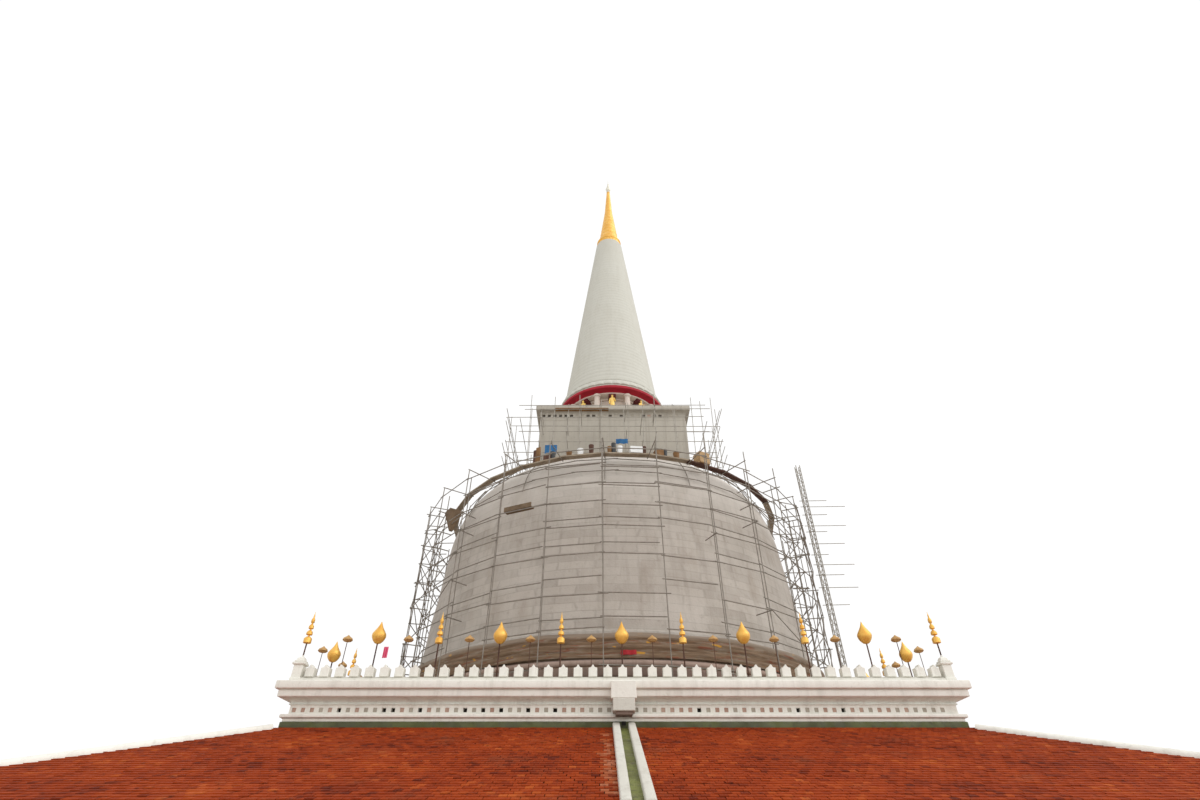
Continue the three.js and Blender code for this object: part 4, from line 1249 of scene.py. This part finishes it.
# %% [markdown]
# ## The tiled roofs
# Each tile is a thin block whose tail rides on the course below. The corners of all tiles are computed
# at once: how far down the slope, how far across, and how high over the boards. Tiles along the mitre
# are cut by pulling their corners back to it. Beside the front gutter lime has run over the clay and
# left it whitish.

# %% Roof tiles
eaves_half = reach("gallery_roof_right")
wall_half = reach("base_wall")
UPSTAND_HALF = 11.6
LIME_RUN = {"left": -0.8, "right": -0.36, "near": 12.5, "far": 18.5, "share": 0.6}
roof_top_z = top("gallery_roof_front")
ROOF_THICK = 0.19
eaves_z = foot("gallery_roof_front") + ROOF_THICK  # the boards' upper face at the eaves
roof_fall = (roof_top_z - eaves_z) / (eaves_half - wall_half)
slope = math.hypot(1, roof_fall)
TILE = {
    "wide": 0.2, "course": 0.2, "long": 0.29, "thick": 0.022, "lift": 0.03, "under_kerb": 0.2,
    "joint": 0.008, "jitter": 0.006, "bedding": 0.006,
}  # fmt: skip
GUTTER_HALF = reach("roof_gutter_front")


def roof_z(outwards):
    """The height of the boards' upper face."""
    return eaves_z + (eaves_half - outwards) * roof_fall


def roof_tiles(seed):
    """Every tile of the front roof, and the tone of each point."""
    rng = np.random.default_rng(seed)
    roof_head = UPSTAND_HALF - 0.05
    down_count = int((eaves_half - roof_head) * slope / TILE["course"])
    across_count = int(2 * eaves_half / TILE["wide"]) + 2
    course, column = np.meshgrid(np.arange(down_count), np.arange(across_count), indexing="ij")
    tail = roof_head + (course + 1) * TILE["course"] / slope + rng.normal(0, TILE["jitter"], course.shape)
    head = np.maximum(tail - TILE["long"] / slope, roof_head)
    left = (column - across_count / 2 + 0.5 * (course % 2)) * TILE["wide"]
    left += rng.normal(0, TILE["jitter"], course.shape)
    right = left + TILE["wide"] - TILE["joint"]
    beside_gutter = (left > GUTTER_HALF - TILE["under_kerb"]) | (right < TILE["under_kerb"] - GUTTER_HALF)
    keep = (left < tail - 0.1) & (right > -tail + 0.1) & beside_gutter
    tail, head, left, right, course = (v[keep] for v in (tail, head, left, right, course))
    tail = np.where(course == down_count - 1, eaves_half - 0.01, tail)
    skew = rng.normal(0, 0.004, len(tail))
    corners = []
    for level in (0, 1):
        for out, order, tail_end in ((tail, 1, 1), (head, -1, 0)):
            limit = out - 0.02
            left_cut = np.clip(left, -limit, limit)
            right_cut = np.maximum(np.clip(right, -limit, limit), left_cut + 0.01)
            lift = tail_end * (TILE["lift"] + skew)
            z = roof_z(out) + TILE["bedding"] + lift + level * TILE["thick"]
            corners += [np.stack([x, -out, z], -1) for x in (left_cut, right_cut)[::order]]
    points = np.stack(corners, 1)
    quads = BOX_FACES[None] + (np.arange(len(points)) * 8)[:, None, None]
    x, y, _ = points.mean(1).T
    drift = 0.44 + 0.16 * np.sin(0.9 * x + seed) * np.cos(1.3 * y + 2 * seed)
    drift += 0.1 * np.sin(2.3 * x + 1.7 * y + seed) * np.sin(3.1 * y - 1.1 * x)
    tone = np.clip(drift + rng.normal(0, 0.13, len(points)), 0, 0.88)
    return Shape(points, [(quads.reshape(-1, 4), 0)]), tone


def lime_run_tones(tiles, tone):
    """The front roof's tones, with most tiles of the lime run above 0.9, where the finish is whitish."""
    x, y, _ = tiles.points.reshape(-1, 8, 3).mean(1).T
    across = (x > LIME_RUN["left"]) & (x < LIME_RUN["right"])
    inside = across & (-y > LIME_RUN["near"]) & (-y < LIME_RUN["far"])
    chance = np.random.default_rng(5).random(len(x)) / LIME_RUN["share"]
    return np.where(inside & (chance < 1), 0.91 + 0.09 * chance, tone)


for index, side in enumerate(SIDES):
    tiles, tone = roof_tiles(index + 1)
    tone = lime_run_tones(tiles, tone) if side == "front" else tone
    finish_solid(f"gallery_roof_{side}", dark_wood)
    point_tones = np.repeat(tone, 8)
    turned_tiles = tiles.turned(index * QUARTER)
    add_piece(f"roof_tiles_{side}", turned_tiles, [clay_tile], crease=20, tone=point_tones)

# %% [markdown]
# ### Hips, gutters and the course under the wall
# A hip is a mortar ridge: a half ellipse carried down the corner line. A gutter is two round-topped
# white kerbs with a mossy green bed between them. Where the roof meets the wall a green glazed upstand
# keeps the rain out, and a small outlet in it feeds each gutter.

# %% Hips, gutters, upstand
ROOF_TRIM_START = 11.75
HIP = {"half": 0.2, "height": 0.17}
GUTTER = {"half": GUTTER_HALF, "channel": 0.14, "kerb": 0.22, "bed": 0.06, "round": 0.04}


def swept(section, start, end, outwards_x=0.0):
    """A section of (across, up) points carried down the roof between two distances from the axis."""
    across, up = np.asarray(section, float).T
    rings = []
    for out in np.linspace(end, start, 25):
        along = np.array([outwards_x, -1.0])
        side = np.array([1.0, outwards_x]) / math.hypot(1, outwards_x)
        plan = along[None] * out + side[None] * across[:, None]
        rings.append(np.column_stack([plan, roof_z(out) + up]))
    return np.stack(rings)


hip_turn = np.linspace(0, math.pi, 13)
hip_back = np.column_stack([HIP["half"] * np.cos(hip_turn), HIP["height"] * np.sin(hip_turn)])
hip_section = np.vstack([[[-HIP["half"], -0.02], [HIP["half"], -0.02]], hip_back])
hip_rings = swept(hip_section, ROOF_TRIM_START, eaves_half - 0.02, 1.0)
hip_shape = capped(hip_rings[::-1])
hip_shape = Shape(hip_shape.points, [(face[:, ::-1], paint) for face, paint in hip_shape.faces])
add_each_side("hip_mortar", hip_shape, [limewash], "roof_hip")


def gutter_section():
    """From the left foot round both kerbs to the right foot; the kerbs' tops are rounded."""
    turn = np.linspace(0, QUARTER, 4)
    curve = GUTTER["round"]
    outer, inner, high = GUTTER["half"], GUTTER["channel"], GUTTER["kerb"]
    out_arc = np.column_stack([outer - curve + curve * np.cos(turn), high - curve + curve * np.sin(turn)])
    in_arc = np.column_stack([inner + curve - curve * np.sin(turn), high - curve + curve * np.cos(turn)])
    right = np.vstack([[[outer, 0]], out_arc, in_arc, [[inner, GUTTER["bed"]]]])
    return np.vstack([right, right[::-1] * [-1, 1]])


gutter_ring = gutter_section()
gutter_rings = swept(gutter_ring, ROOF_TRIM_START, eaves_half)
gutter_shape = capped(gutter_rings[::-1])
quads = gutter_shape.faces[0][0]
bed_column = len(gutter_ring) // 2 - 1
is_bed = (quads[:, 0] % len(gutter_ring)) == bed_column
gutter_shape.faces = [(quads[~is_bed], 0), (quads[is_bed], 1), *gutter_shape.faces[1:]]
add_each_side("gutter", gutter_shape, [worn_limewash, glazed_green], "roof_gutter")
upstand_foot = roof_z(UPSTAND_HALF)
upstand = squared(band(UPSTAND_HALF, upstand_foot - 0.05, string_foot, 0.02))
add_piece("roof_upstand", upstand, [dark_glaze])
OUTLET = {"half": 0.07, "out": 0.012, "low": 0.1, "high": 0.22}
outlet_low = [-OUTLET["half"], -UPSTAND_HALF - OUTLET["out"], upstand_foot + OUTLET["low"]]
outlet = boxes(outlet_low, [OUTLET["half"], -UPSTAND_HALF, upstand_foot + OUTLET["high"]])
SPOUT_MOUTH = {"half": 0.28, "front": -12.16, "back": -11.7, "drop": 0.1}
mouth_low = [-SPOUT_MOUTH["half"], SPOUT_MOUTH["front"], SPOUT["foot"] - SPOUT_MOUTH["drop"]]
mouth = boxes(mouth_low, [SPOUT_MOUTH["half"], SPOUT_MOUTH["back"], SPOUT["foot"] + 0.01]).painted(1)
outlets = four_sides(join(outlet, mouth))
add_piece("outlets_and_sills", outlets, [hole_shade, dark_brown_plaster])

# %% [markdown]
# ## The scaffold round the bell
# Two rings of upright tubes stand on the terrace, tied by level tubes at each lift. Short tubes across
# to the wall and slanting braces stiffen the bays at the left and the right, where the hoists pull.
# Every tube is straight and a little out of true, as on a real scaffold: the heights and overlaps come
# from seeded random numbers, so each run gives the same one.

# %% Bell scaffold
terrace = top("terrace_paving")
CAGE = {"bays": 28, "turn": -3.5, "outer": 11.0, "inner": 10.42, "top": foot("bell_scaffold_deck")}
DECK = {"inner": 9.27, "outer": 9.6, "low": foot("bell_scaffold_deck"), "top": top("bell_scaffold_deck")}
TUBE = 0.024
OUTER_LIFTS = [7.3, 8.6, 9.95, 11.6, 12.85, 13.95, 14.85, 15.8, 16.7]
INNER_LIFTS = [8.0, 9.3, 10.8, 12.3, 13.5, 14.4, 15.3, 16.25]
BEARER = 0.05  # the tubes under the deck lie this far below its boards
rng = np.random.default_rng(11)


def on_ring(radius, degrees, height):
    """Points at bearings from the front towards +X, at a radius and a height."""
    angle = np.radians(degrees)
    return np.stack(np.broadcast_arrays(radius * np.sin(angle), -radius * np.cos(angle), height), -1)


bay = 360 / CAGE["bays"]
outer_bearing = CAGE["turn"] + np.arange(CAGE["bays"]) * bay
# Seen from the camera, each inner upright stands behind an outer one.
inner_bearing = outer_bearing + 5 * np.sin(np.radians(outer_bearing)) + 0.1


def beside(bearing):
    """A share from 0 in front and behind to 1 at the left and the right: the sine's size, cubed."""
    return np.abs(np.sin(np.radians(bearing))) ** 3


def uprights(radius, bearings, low, high, tall_share=0.0):
    """Tubes that stand at bearings, each a little out of plumb, and a share of them taller."""
    lean = rng.normal(0, 0.2, (2, len(bearings)))
    heads = high - BEARER + (rng.random(len(bearings)) < tall_share) * rng.uniform(0.5, 0.95, len(bearings))
    return tubes(on_ring(radius, bearings + lean[0], low), on_ring(radius, bearings + lean[1], heads), TUBE)


def ledgers(radius, bearings, heights, kept_share=0.86):
    """Level tubes from one upright to past the next, at jittered heights, with a few left out."""
    bearing, height = (v.ravel() for v in np.meshgrid(bearings, heights))
    keep = rng.random(len(bearing)) < kept_share
    bearing, height = bearing[keep], height[keep]
    jitter = rng.normal(0, 0.05, (2, len(bearing)))
    over = rng.uniform(0.2, 1.2, (2, len(bearing)))
    starts = on_ring(radius, bearing - over[0], height + jitter[0])
    return tubes(starts, on_ring(radius, bearing + bay + over[1], height + jitter[0] + jitter[1] / 3), TUBE)


def transoms(bearings, heights, inner, outer):
    """Short tubes across the scaffold at the sides, from the wall to past the outer uprights."""
    bearing, height = (v.ravel() for v in np.meshgrid(bearings, heights))
    keep = rng.random(len(bearing)) < beside(bearing)
    bearing, height = bearing[keep], height[keep] + rng.normal(0, 0.05, keep.sum())
    out = outer + rng.uniform(0.0, 0.08, len(height))
    return tubes(on_ring(inner, bearing, height), on_ring(out, bearing + 0.2, height), TUBE)


def braces(radius, bearings, heights):
    """Slanting tubes from one lift to the next across a bay, mostly at the sides."""
    bearing, lift = (v.ravel() for v in np.meshgrid(bearings, np.arange(len(heights) - 1)))
    keep = rng.random(len(bearing)) < 0.6 * beside(bearing + bay / 2)
    bearing, lift = bearing[keep], lift[keep]
    heights = np.asarray(heights)
    leans_right = rng.random(len(bearing)) < 0.5
    first = bearing + np.where(leans_right, 0, bay)
    second = bearing + np.where(leans_right, bay, 0)
    return tubes(on_ring(radius, first, heights[lift]), on_ring(radius, second, heights[lift + 1]), TUBE)


bearer_height = CAGE["top"] - BEARER
bearer_start = on_ring(DECK["inner"] + 0.05, outer_bearing, bearer_height)
bearer_end = on_ring(CAGE["outer"] + 0.05, outer_bearing, bearer_height)
cage = join(
    uprights(CAGE["outer"], outer_bearing, terrace, CAGE["top"], 0.25),
    uprights(CAGE["inner"], inner_bearing, terrace, CAGE["top"]),
    ledgers(CAGE["outer"] + 0.04, outer_bearing, OUTER_LIFTS),
    ledgers(CAGE["inner"] + 0.04, inner_bearing, INNER_LIFTS),
    transoms(outer_bearing, OUTER_LIFTS, CAGE["inner"] - 0.2, CAGE["outer"] + 0.1),
    braces(CAGE["outer"] + 0.08, outer_bearing, OUTER_LIFTS),
    tubes(bearer_start, bearer_end, TUBE),
)
bell_panels = [f"bell_scaffold_{i:02d}" for i in range(1, 15)]
add_piece("bell_cage", cage, [tube_metal], bell_panels, crease=50)

# %% [markdown]
# ### The working deck
# A narrow ring of boards lies on tubes between the cage's heads and the bell's shoulder. The gang's
# things stand on it: pails, crates, a plywood box and a few loose boards. A hopper hangs at the left
# for the rubble. A board is a thin box; the boards of one bay are copied round the ring, each other bay
# a finger higher so that their ends can lap.

# %% Working deck
DECK_ROWS = 2
DARK_BOARDS = (28, 56)  # the bearings between which the boards are old and dark
LAP = 0.012


def bay_boards():
    """One bay's boards, each as long as the chord at its own distance from the axis."""
    edges = np.linspace(DECK["inner"], DECK["outer"], DECK_ROWS + 1)
    half = edges[:-1] * math.tan(math.radians(bay / 2)) + 0.08
    lows = np.column_stack([-half, 0.015 - edges[1:], np.full(DECK_ROWS, DECK["low"])])
    highs = np.column_stack([half, -edges[:-1], np.full(DECK_ROWS, DECK["top"] - LAP)])
    return boxes(lows, highs)


bay_number = np.arange(CAGE["bays"])
bay_places = np.column_stack([0 * bay_number, 0 * bay_number, LAP * (bay_number % 2)])
bay_middle = outer_bearing + bay / 2
bay_turns = np.radians(bay_middle)
dark_bay = (bay_middle > DARK_BOARDS[0]) & (bay_middle < DARK_BOARDS[1])
light_boards = copies(bay_boards(), bay_places[~dark_bay], bay_turns[~dark_bay])
dark_boards = copies(bay_boards(), bay_places[dark_bay], bay_turns[dark_bay]).painted(1)
deck_boards = join(light_boards, dark_boards)
add_piece("deck_boards", deck_boards, [deck_wood, dark_wood], ["bell_scaffold_deck"])

# %% Things on the deck
GOODS_FINISHES = [black_plastic, white_plastic, dark_wood, plank_wood, plywood, old_boards]
PAILS = [  # bearing, radius, height, paint
    (-19.5, 0.14, 0.42, 0), (-14.3, 0.15, 0.3, 3), (-10.8, 0.17, 0.36, 1), (-7.5, 0.13, 0.55, 2),
    (-2.0, 0.12, 0.4, 3), (-0.8, 0.12, 0.6, 0), (1.0, 0.15, 0.42, 1), (8.3, 0.13, 0.45, 2),
    (14.8, 0.13, 0.42, 0), (18.5, 0.16, 0.36, 3), (82.0, 0.15, 0.4, 1), (148.0, 0.15, 0.4, 0),
    (205.0, 0.15, 0.4, 1), (262.0, 0.15, 0.4, 0),
]  # fmt: skip
CRATES = [  # bearing, half width, half depth, height, paint
    (5.9, 0.3, 0.2, 0.36, 1), (12.8, 0.22, 0.18, 0.3, 3), (27.4, 0.3, 0.28, 0.62, 4),
    (110.0, 0.4, 0.3, 0.5, 4), (-24.6, 0.12, 0.03, 0.92, 3), (-25.6, 0.1, 0.03, 0.8, 2),
    (-21.0, 0.2, 0.15, 0.3, 2), (232.0, 0.35, 0.25, 0.45, 3),
]  # fmt: skip
HOPPER = {"bearing": -54.5, "radius": 10.3, "top": 16.0, "foot": 14.95, "half": 0.36, "mouth": 0.08}
GOODS_RING = 9.42  # how far from the axis the things stand
LOOSE_BOARDS_LOW = [[-0.7, -10.9, 14.14], [-0.7, -10.9, 14.2]]  # one flat, one on edge over it
LOOSE_BOARDS_HIGH = [[0.7, -10.6, 14.2], [0.7, -10.86, 14.36]]
LOOSE_BOARDS_BEARING = -24.5


def on_deck(shape, bearing):
    """A thing made on the ground at the axis, moved to the deck at a bearing."""
    return shape.moved(0, -GOODS_RING, DECK["top"]).turned(math.radians(bearing))


goods = []
for bearing, radius, height, paint in PAILS:
    pail = revolved([(0.8 * radius, 0), (radius, height)], 12)
    goods.append(on_deck(pail, bearing).painted(paint))
for bearing, wide, deep, height, paint in CRATES:
    crate = boxes([-wide, -deep, 0], [wide, deep, height])
    goods.append(on_deck(crate, bearing).painted(paint))
hopper_ends = [(HOPPER["mouth"], HOPPER["foot"]), (HOPPER["half"], HOPPER["top"])]
hopper = capped(np.stack([np.column_stack([UNIT_SQUARE * half, np.full(4, z)]) for half, z in hopper_ends]))
hopper = hopper.moved(0, -HOPPER["radius"]).turned(math.radians(HOPPER["bearing"])).painted(5)
loose_boards = boxes(LOOSE_BOARDS_LOW, LOOSE_BOARDS_HIGH)
loose_boards = loose_boards.turned(math.radians(LOOSE_BOARDS_BEARING)).painted(5)
add_piece("deck_goods", join(*goods, hopper, loose_boards), GOODS_FINISHES)

# %% [markdown]
# ### Over the shoulder
# Above the deck, tubes lie on the bell's shoulder: some follow it up towards the throne and some run
# round it. Their points are the bell's own outline, grown outwards a little, so they rest on the
# plaster.

# %% Tubes on the shoulder
SHOULDER_FOOT = 15.8
outline_r, outline_z = bell_radius_and_height()
on_shoulder = outline_z > SHOULDER_FOOT
shoulder_r, shoulder_z = outline_r[on_shoulder][::4] + 0.05, outline_z[on_shoulder][::4] + 0.07


def shoulder_ribs(bearings):
    """Tubes that climb the shoulder in short straight lengths."""
    bearing = np.repeat(bearings, len(shoulder_r) - 1)
    count = len(bearings)
    low = on_ring(np.tile(shoulder_r[:-1], count), bearing, np.tile(shoulder_z[:-1], count))
    high = on_ring(np.tile(shoulder_r[1:], count), bearing, np.tile(shoulder_z[1:], count))
    return tubes(low, high, TUBE)


def shoulder_hoops(picks, sides=28):
    """Tubes that run round the shoulder, each a ring of straight lengths."""
    bearing, pick = (v.ravel() for v in np.meshgrid(np.arange(sides) * 360 / sides, picks))
    radius, height = shoulder_r[pick] + 0.06, shoulder_z[pick] + 0.06 + rng.normal(0, 0.03, len(pick))
    ends = on_ring(radius, bearing + 360 / sides + 0.6, height)
    return tubes(on_ring(radius, bearing - 0.6, height), ends, TUBE)


shoulder = join(shoulder_ribs(outer_bearing[::2]), shoulder_hoops(np.arange(1, len(shoulder_r) - 1, 3)))
add_piece("shoulder_tubes", shoulder, [tube_metal], crease=50)

# %% [markdown]
# ## The scaffold round the throne
# A light square cage stands on the bell's shoulder, so each upright starts where the bell's outline is
# at its own distance from the axis. The front has the most tubes, because the gang works there. A plank
# lies on an upper lift, and two blue sheets are tied to the tubes.

# %% Throne scaffold
THRONE_CAGE = {"outer": 6.2, "inner": 5.35, "top": 23.2, "levels_reach": 5.5}
THRONE_UPRIGHTS = np.array([-4.8, -4.2, -3.5, -2.7, -1.9, -0.8, 0.7, 1.6, 2.4, 3.6, 4.5, 5.6])
THRONE_LIFTS = [17.9, 18.7, 19.5, 20.2, 20.9, 21.88, 22.45, 22.74]
THIN_TUBE = 0.019
THRONE_PLANK = ([-3.4, -6.3, 22.48], [-0.3, -6.02, 22.54])  # two opposite corners


def shoulder_height(radius):
    """The bell's height at a distance from the axis."""
    return np.interp(-np.asarray(radius), -outline_r, outline_z)


def throne_side(half, uprights_x, lifts, seed):
    """One side of the square cage: uprights, and level tubes that reach past the corners."""
    rng = np.random.default_rng(seed)
    x = uprights_x + rng.normal(0, 0.05, len(uprights_x))
    y = np.full(len(x), -half)
    low = shoulder_height(np.hypot(x, y))
    high = THRONE_CAGE["top"] + rng.uniform(-0.5, 0.5, len(x)) + 0.9 * (rng.random(len(x)) < 0.3)
    lean = rng.normal(0, 0.05, len(x))
    stands = tubes(np.column_stack([x, y, low]), np.column_stack([x + lean, y, high]), THIN_TUBE)
    lifts = np.array([z for z in lifts if z > shoulder_height(half) + 0.1])
    count = len(lifts)
    ends = THRONE_CAGE["levels_reach"] + rng.uniform(-0.4, 0.85, (2, count))
    slant = rng.normal(0, 0.04, count)
    levels = tubes(
        np.column_stack([-ends[0], np.full(count, -half - 0.06), lifts]),
        np.column_stack([ends[1], np.full(count, -half - 0.06), lifts + slant]),
        THIN_TUBE,
    )
    return join(stands, levels)


def throne_transoms(uprights_x, seed):
    """Tubes across from the outer uprights to the throne's face."""
    rng = np.random.default_rng(seed)
    x, z = (v.ravel() for v in np.meshgrid(uprights_x, THRONE_LIFTS[2:]))
    keep = (rng.random(len(x)) < 0.3) & (np.abs(x) < die_half)
    x, z = x[keep], z[keep] + rng.normal(0, 0.03, keep.sum())
    near = -THRONE_CAGE["outer"] - rng.uniform(0.05, 0.3, len(x))
    ends = np.column_stack([x, np.full(len(x), -die_half), z])
    return tubes(np.column_stack([x, near, z]), ends, THIN_TUBE)


def throne_cage_side(index):
    """The outer and the inner row with the tubes between them; the front has all its uprights."""
    uprights_x = THRONE_UPRIGHTS if index == 0 else THRONE_UPRIGHTS[::2]
    outer = throne_side(THRONE_CAGE["outer"], uprights_x, THRONE_LIFTS, index)
    inner = throne_side(THRONE_CAGE["inner"], uprights_x[::3], THRONE_LIFTS[2::3], index + 10)
    return join(outer, inner, throne_transoms(uprights_x, index + 20)).turned(index * QUARTER)


throne_cage = join(*[throne_cage_side(i) for i in range(4)])
throne_panels = [f"throne_scaffold_{side}" for side in SIDES]
add_piece("throne_cage", throne_cage, [light_tube], throne_panels, crease=50)
add_piece("throne_plank", boxes(*THRONE_PLANK), [plank_wood])

# %% Small cloths


def hanging_points(left, right, y, low, high, wave=0.03):
    """A cloth that hangs at y, with two upright folds that open towards its foot."""
    x = np.linspace(left, right, 18)[None]
    z = np.linspace(low, high, 12)[:, None]
    fold = wave * np.sin((x - left) / (right - left) * 2 * FULL) * (1 - 0.5 * (z - low) / (high - low))
    return np.stack(np.broadcast_arrays(x, y + fold, z), -1)


SMALL_CLOTHS = [  # name, left, right, y, foot, top, finish, what it is tied to
    ("blue_sheet_middle", 0.09, 0.75, -6.3, 20.05, 20.36, blue_cloth, "throne_cage"),
    ("blue_sheet_left", -3.85, -3.18, -6.3, 19.4, 19.95, blue_cloth, "throne_cage"),
    ("red_cloth_scrap", -0.02, 0.57, -10.63, 7.75, 7.92, red_cloth, "ring_cloth_3"),
    ("pink_pennant", -8.64, -8.48, -11.47, 7.42, 7.8, pink_cloth, "ornament_posts"),
]
for name, left, right, y, low, high, finish, support in SMALL_CLOTHS:
    add_cloth(name, hanging_points(left, right, y, low, high), finish)

# %% [markdown]
# ## The hoist mast
# A square lattice mast: four legs, level rungs, and a zigzag on each face. Tubes stick out of it at the
# right, where loads are swung in.

# %% Mast
mast_low, mast_high = (np.array(corner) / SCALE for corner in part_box("hoist_mast"))
mast_middle = (mast_low + mast_high) / 2
MAST_MARGIN = 0.06  # from the solid's face to the middle of a leg
mast_half = (mast_high - mast_low)[0] / 2 - MAST_MARGIN
MAST_RUNG = 0.45
MAST_TUBE = {"leg": 0.021, "rung": 0.014, "brace": 0.012, "arm": 0.016}


def mast_lattice():
    """Legs at the corners; for each rung the four level bars and one slanting bar a face."""
    corner = UNIT_SQUARE * mast_half + mast_middle[:2]
    following = np.roll(corner, -1, 0)
    low, high = mast_low[2], mast_high[2]
    feet, heads = (np.column_stack([corner, np.full(4, height)]) for height in (low, high))
    legs = tubes(feet, heads, MAST_TUBE["leg"])
    rungs = np.arange(low + 0.2, high - 0.1, MAST_RUNG)
    z = np.repeat(rungs, 4)
    first, second = np.tile(corner, (len(rungs), 1)), np.tile(following, (len(rungs), 1))
    level = tubes(np.column_stack([first, z]), np.column_stack([second, z]), MAST_TUBE["rung"], 4)
    rise = np.minimum(z + MAST_RUNG, high)
    slanting = tubes(np.column_stack([first, z]), np.column_stack([second, rise]), MAST_TUBE["brace"], 4)
    return join(legs, level, slanting)


MAST_ARMS = [  # height, how far right
    (16.06, 10.65), (15.73, 11.5), (15.28, 10.5), (14.69, 11.3), (14.37, 10.3), (13.75, 11.0),
    (13.19, 10.1), (12.7, 11.2), (12.2, 10.6), (11.6, 11.1), (10.8, 10.5),
]  # fmt: skip
arm_z, arm_end = np.array(MAST_ARMS).T
arm_y = np.full(len(arm_z), mast_middle[1])
arm_starts = np.column_stack([np.full(len(arm_z), mast_middle[0] - 0.3), arm_y, arm_z])
mast_arms = tubes(arm_starts, np.column_stack([arm_end, arm_y, arm_z + 0.03]), MAST_TUBE["arm"])
mast = join(mast_lattice(), mast_arms)
add_piece("mast_lattice", mast, [light_tube], ["hoist_mast"], crease=50)

# %% [markdown]
# ## The triangle count
# The triangles of the new pieces are added up and printed, with the name of the largest piece.

# %% Triangle count
total = sum(made_triangles.values())
print("new pieces hold", total, "triangles; the largest is", max(made_triangles, key=made_triangles.get))
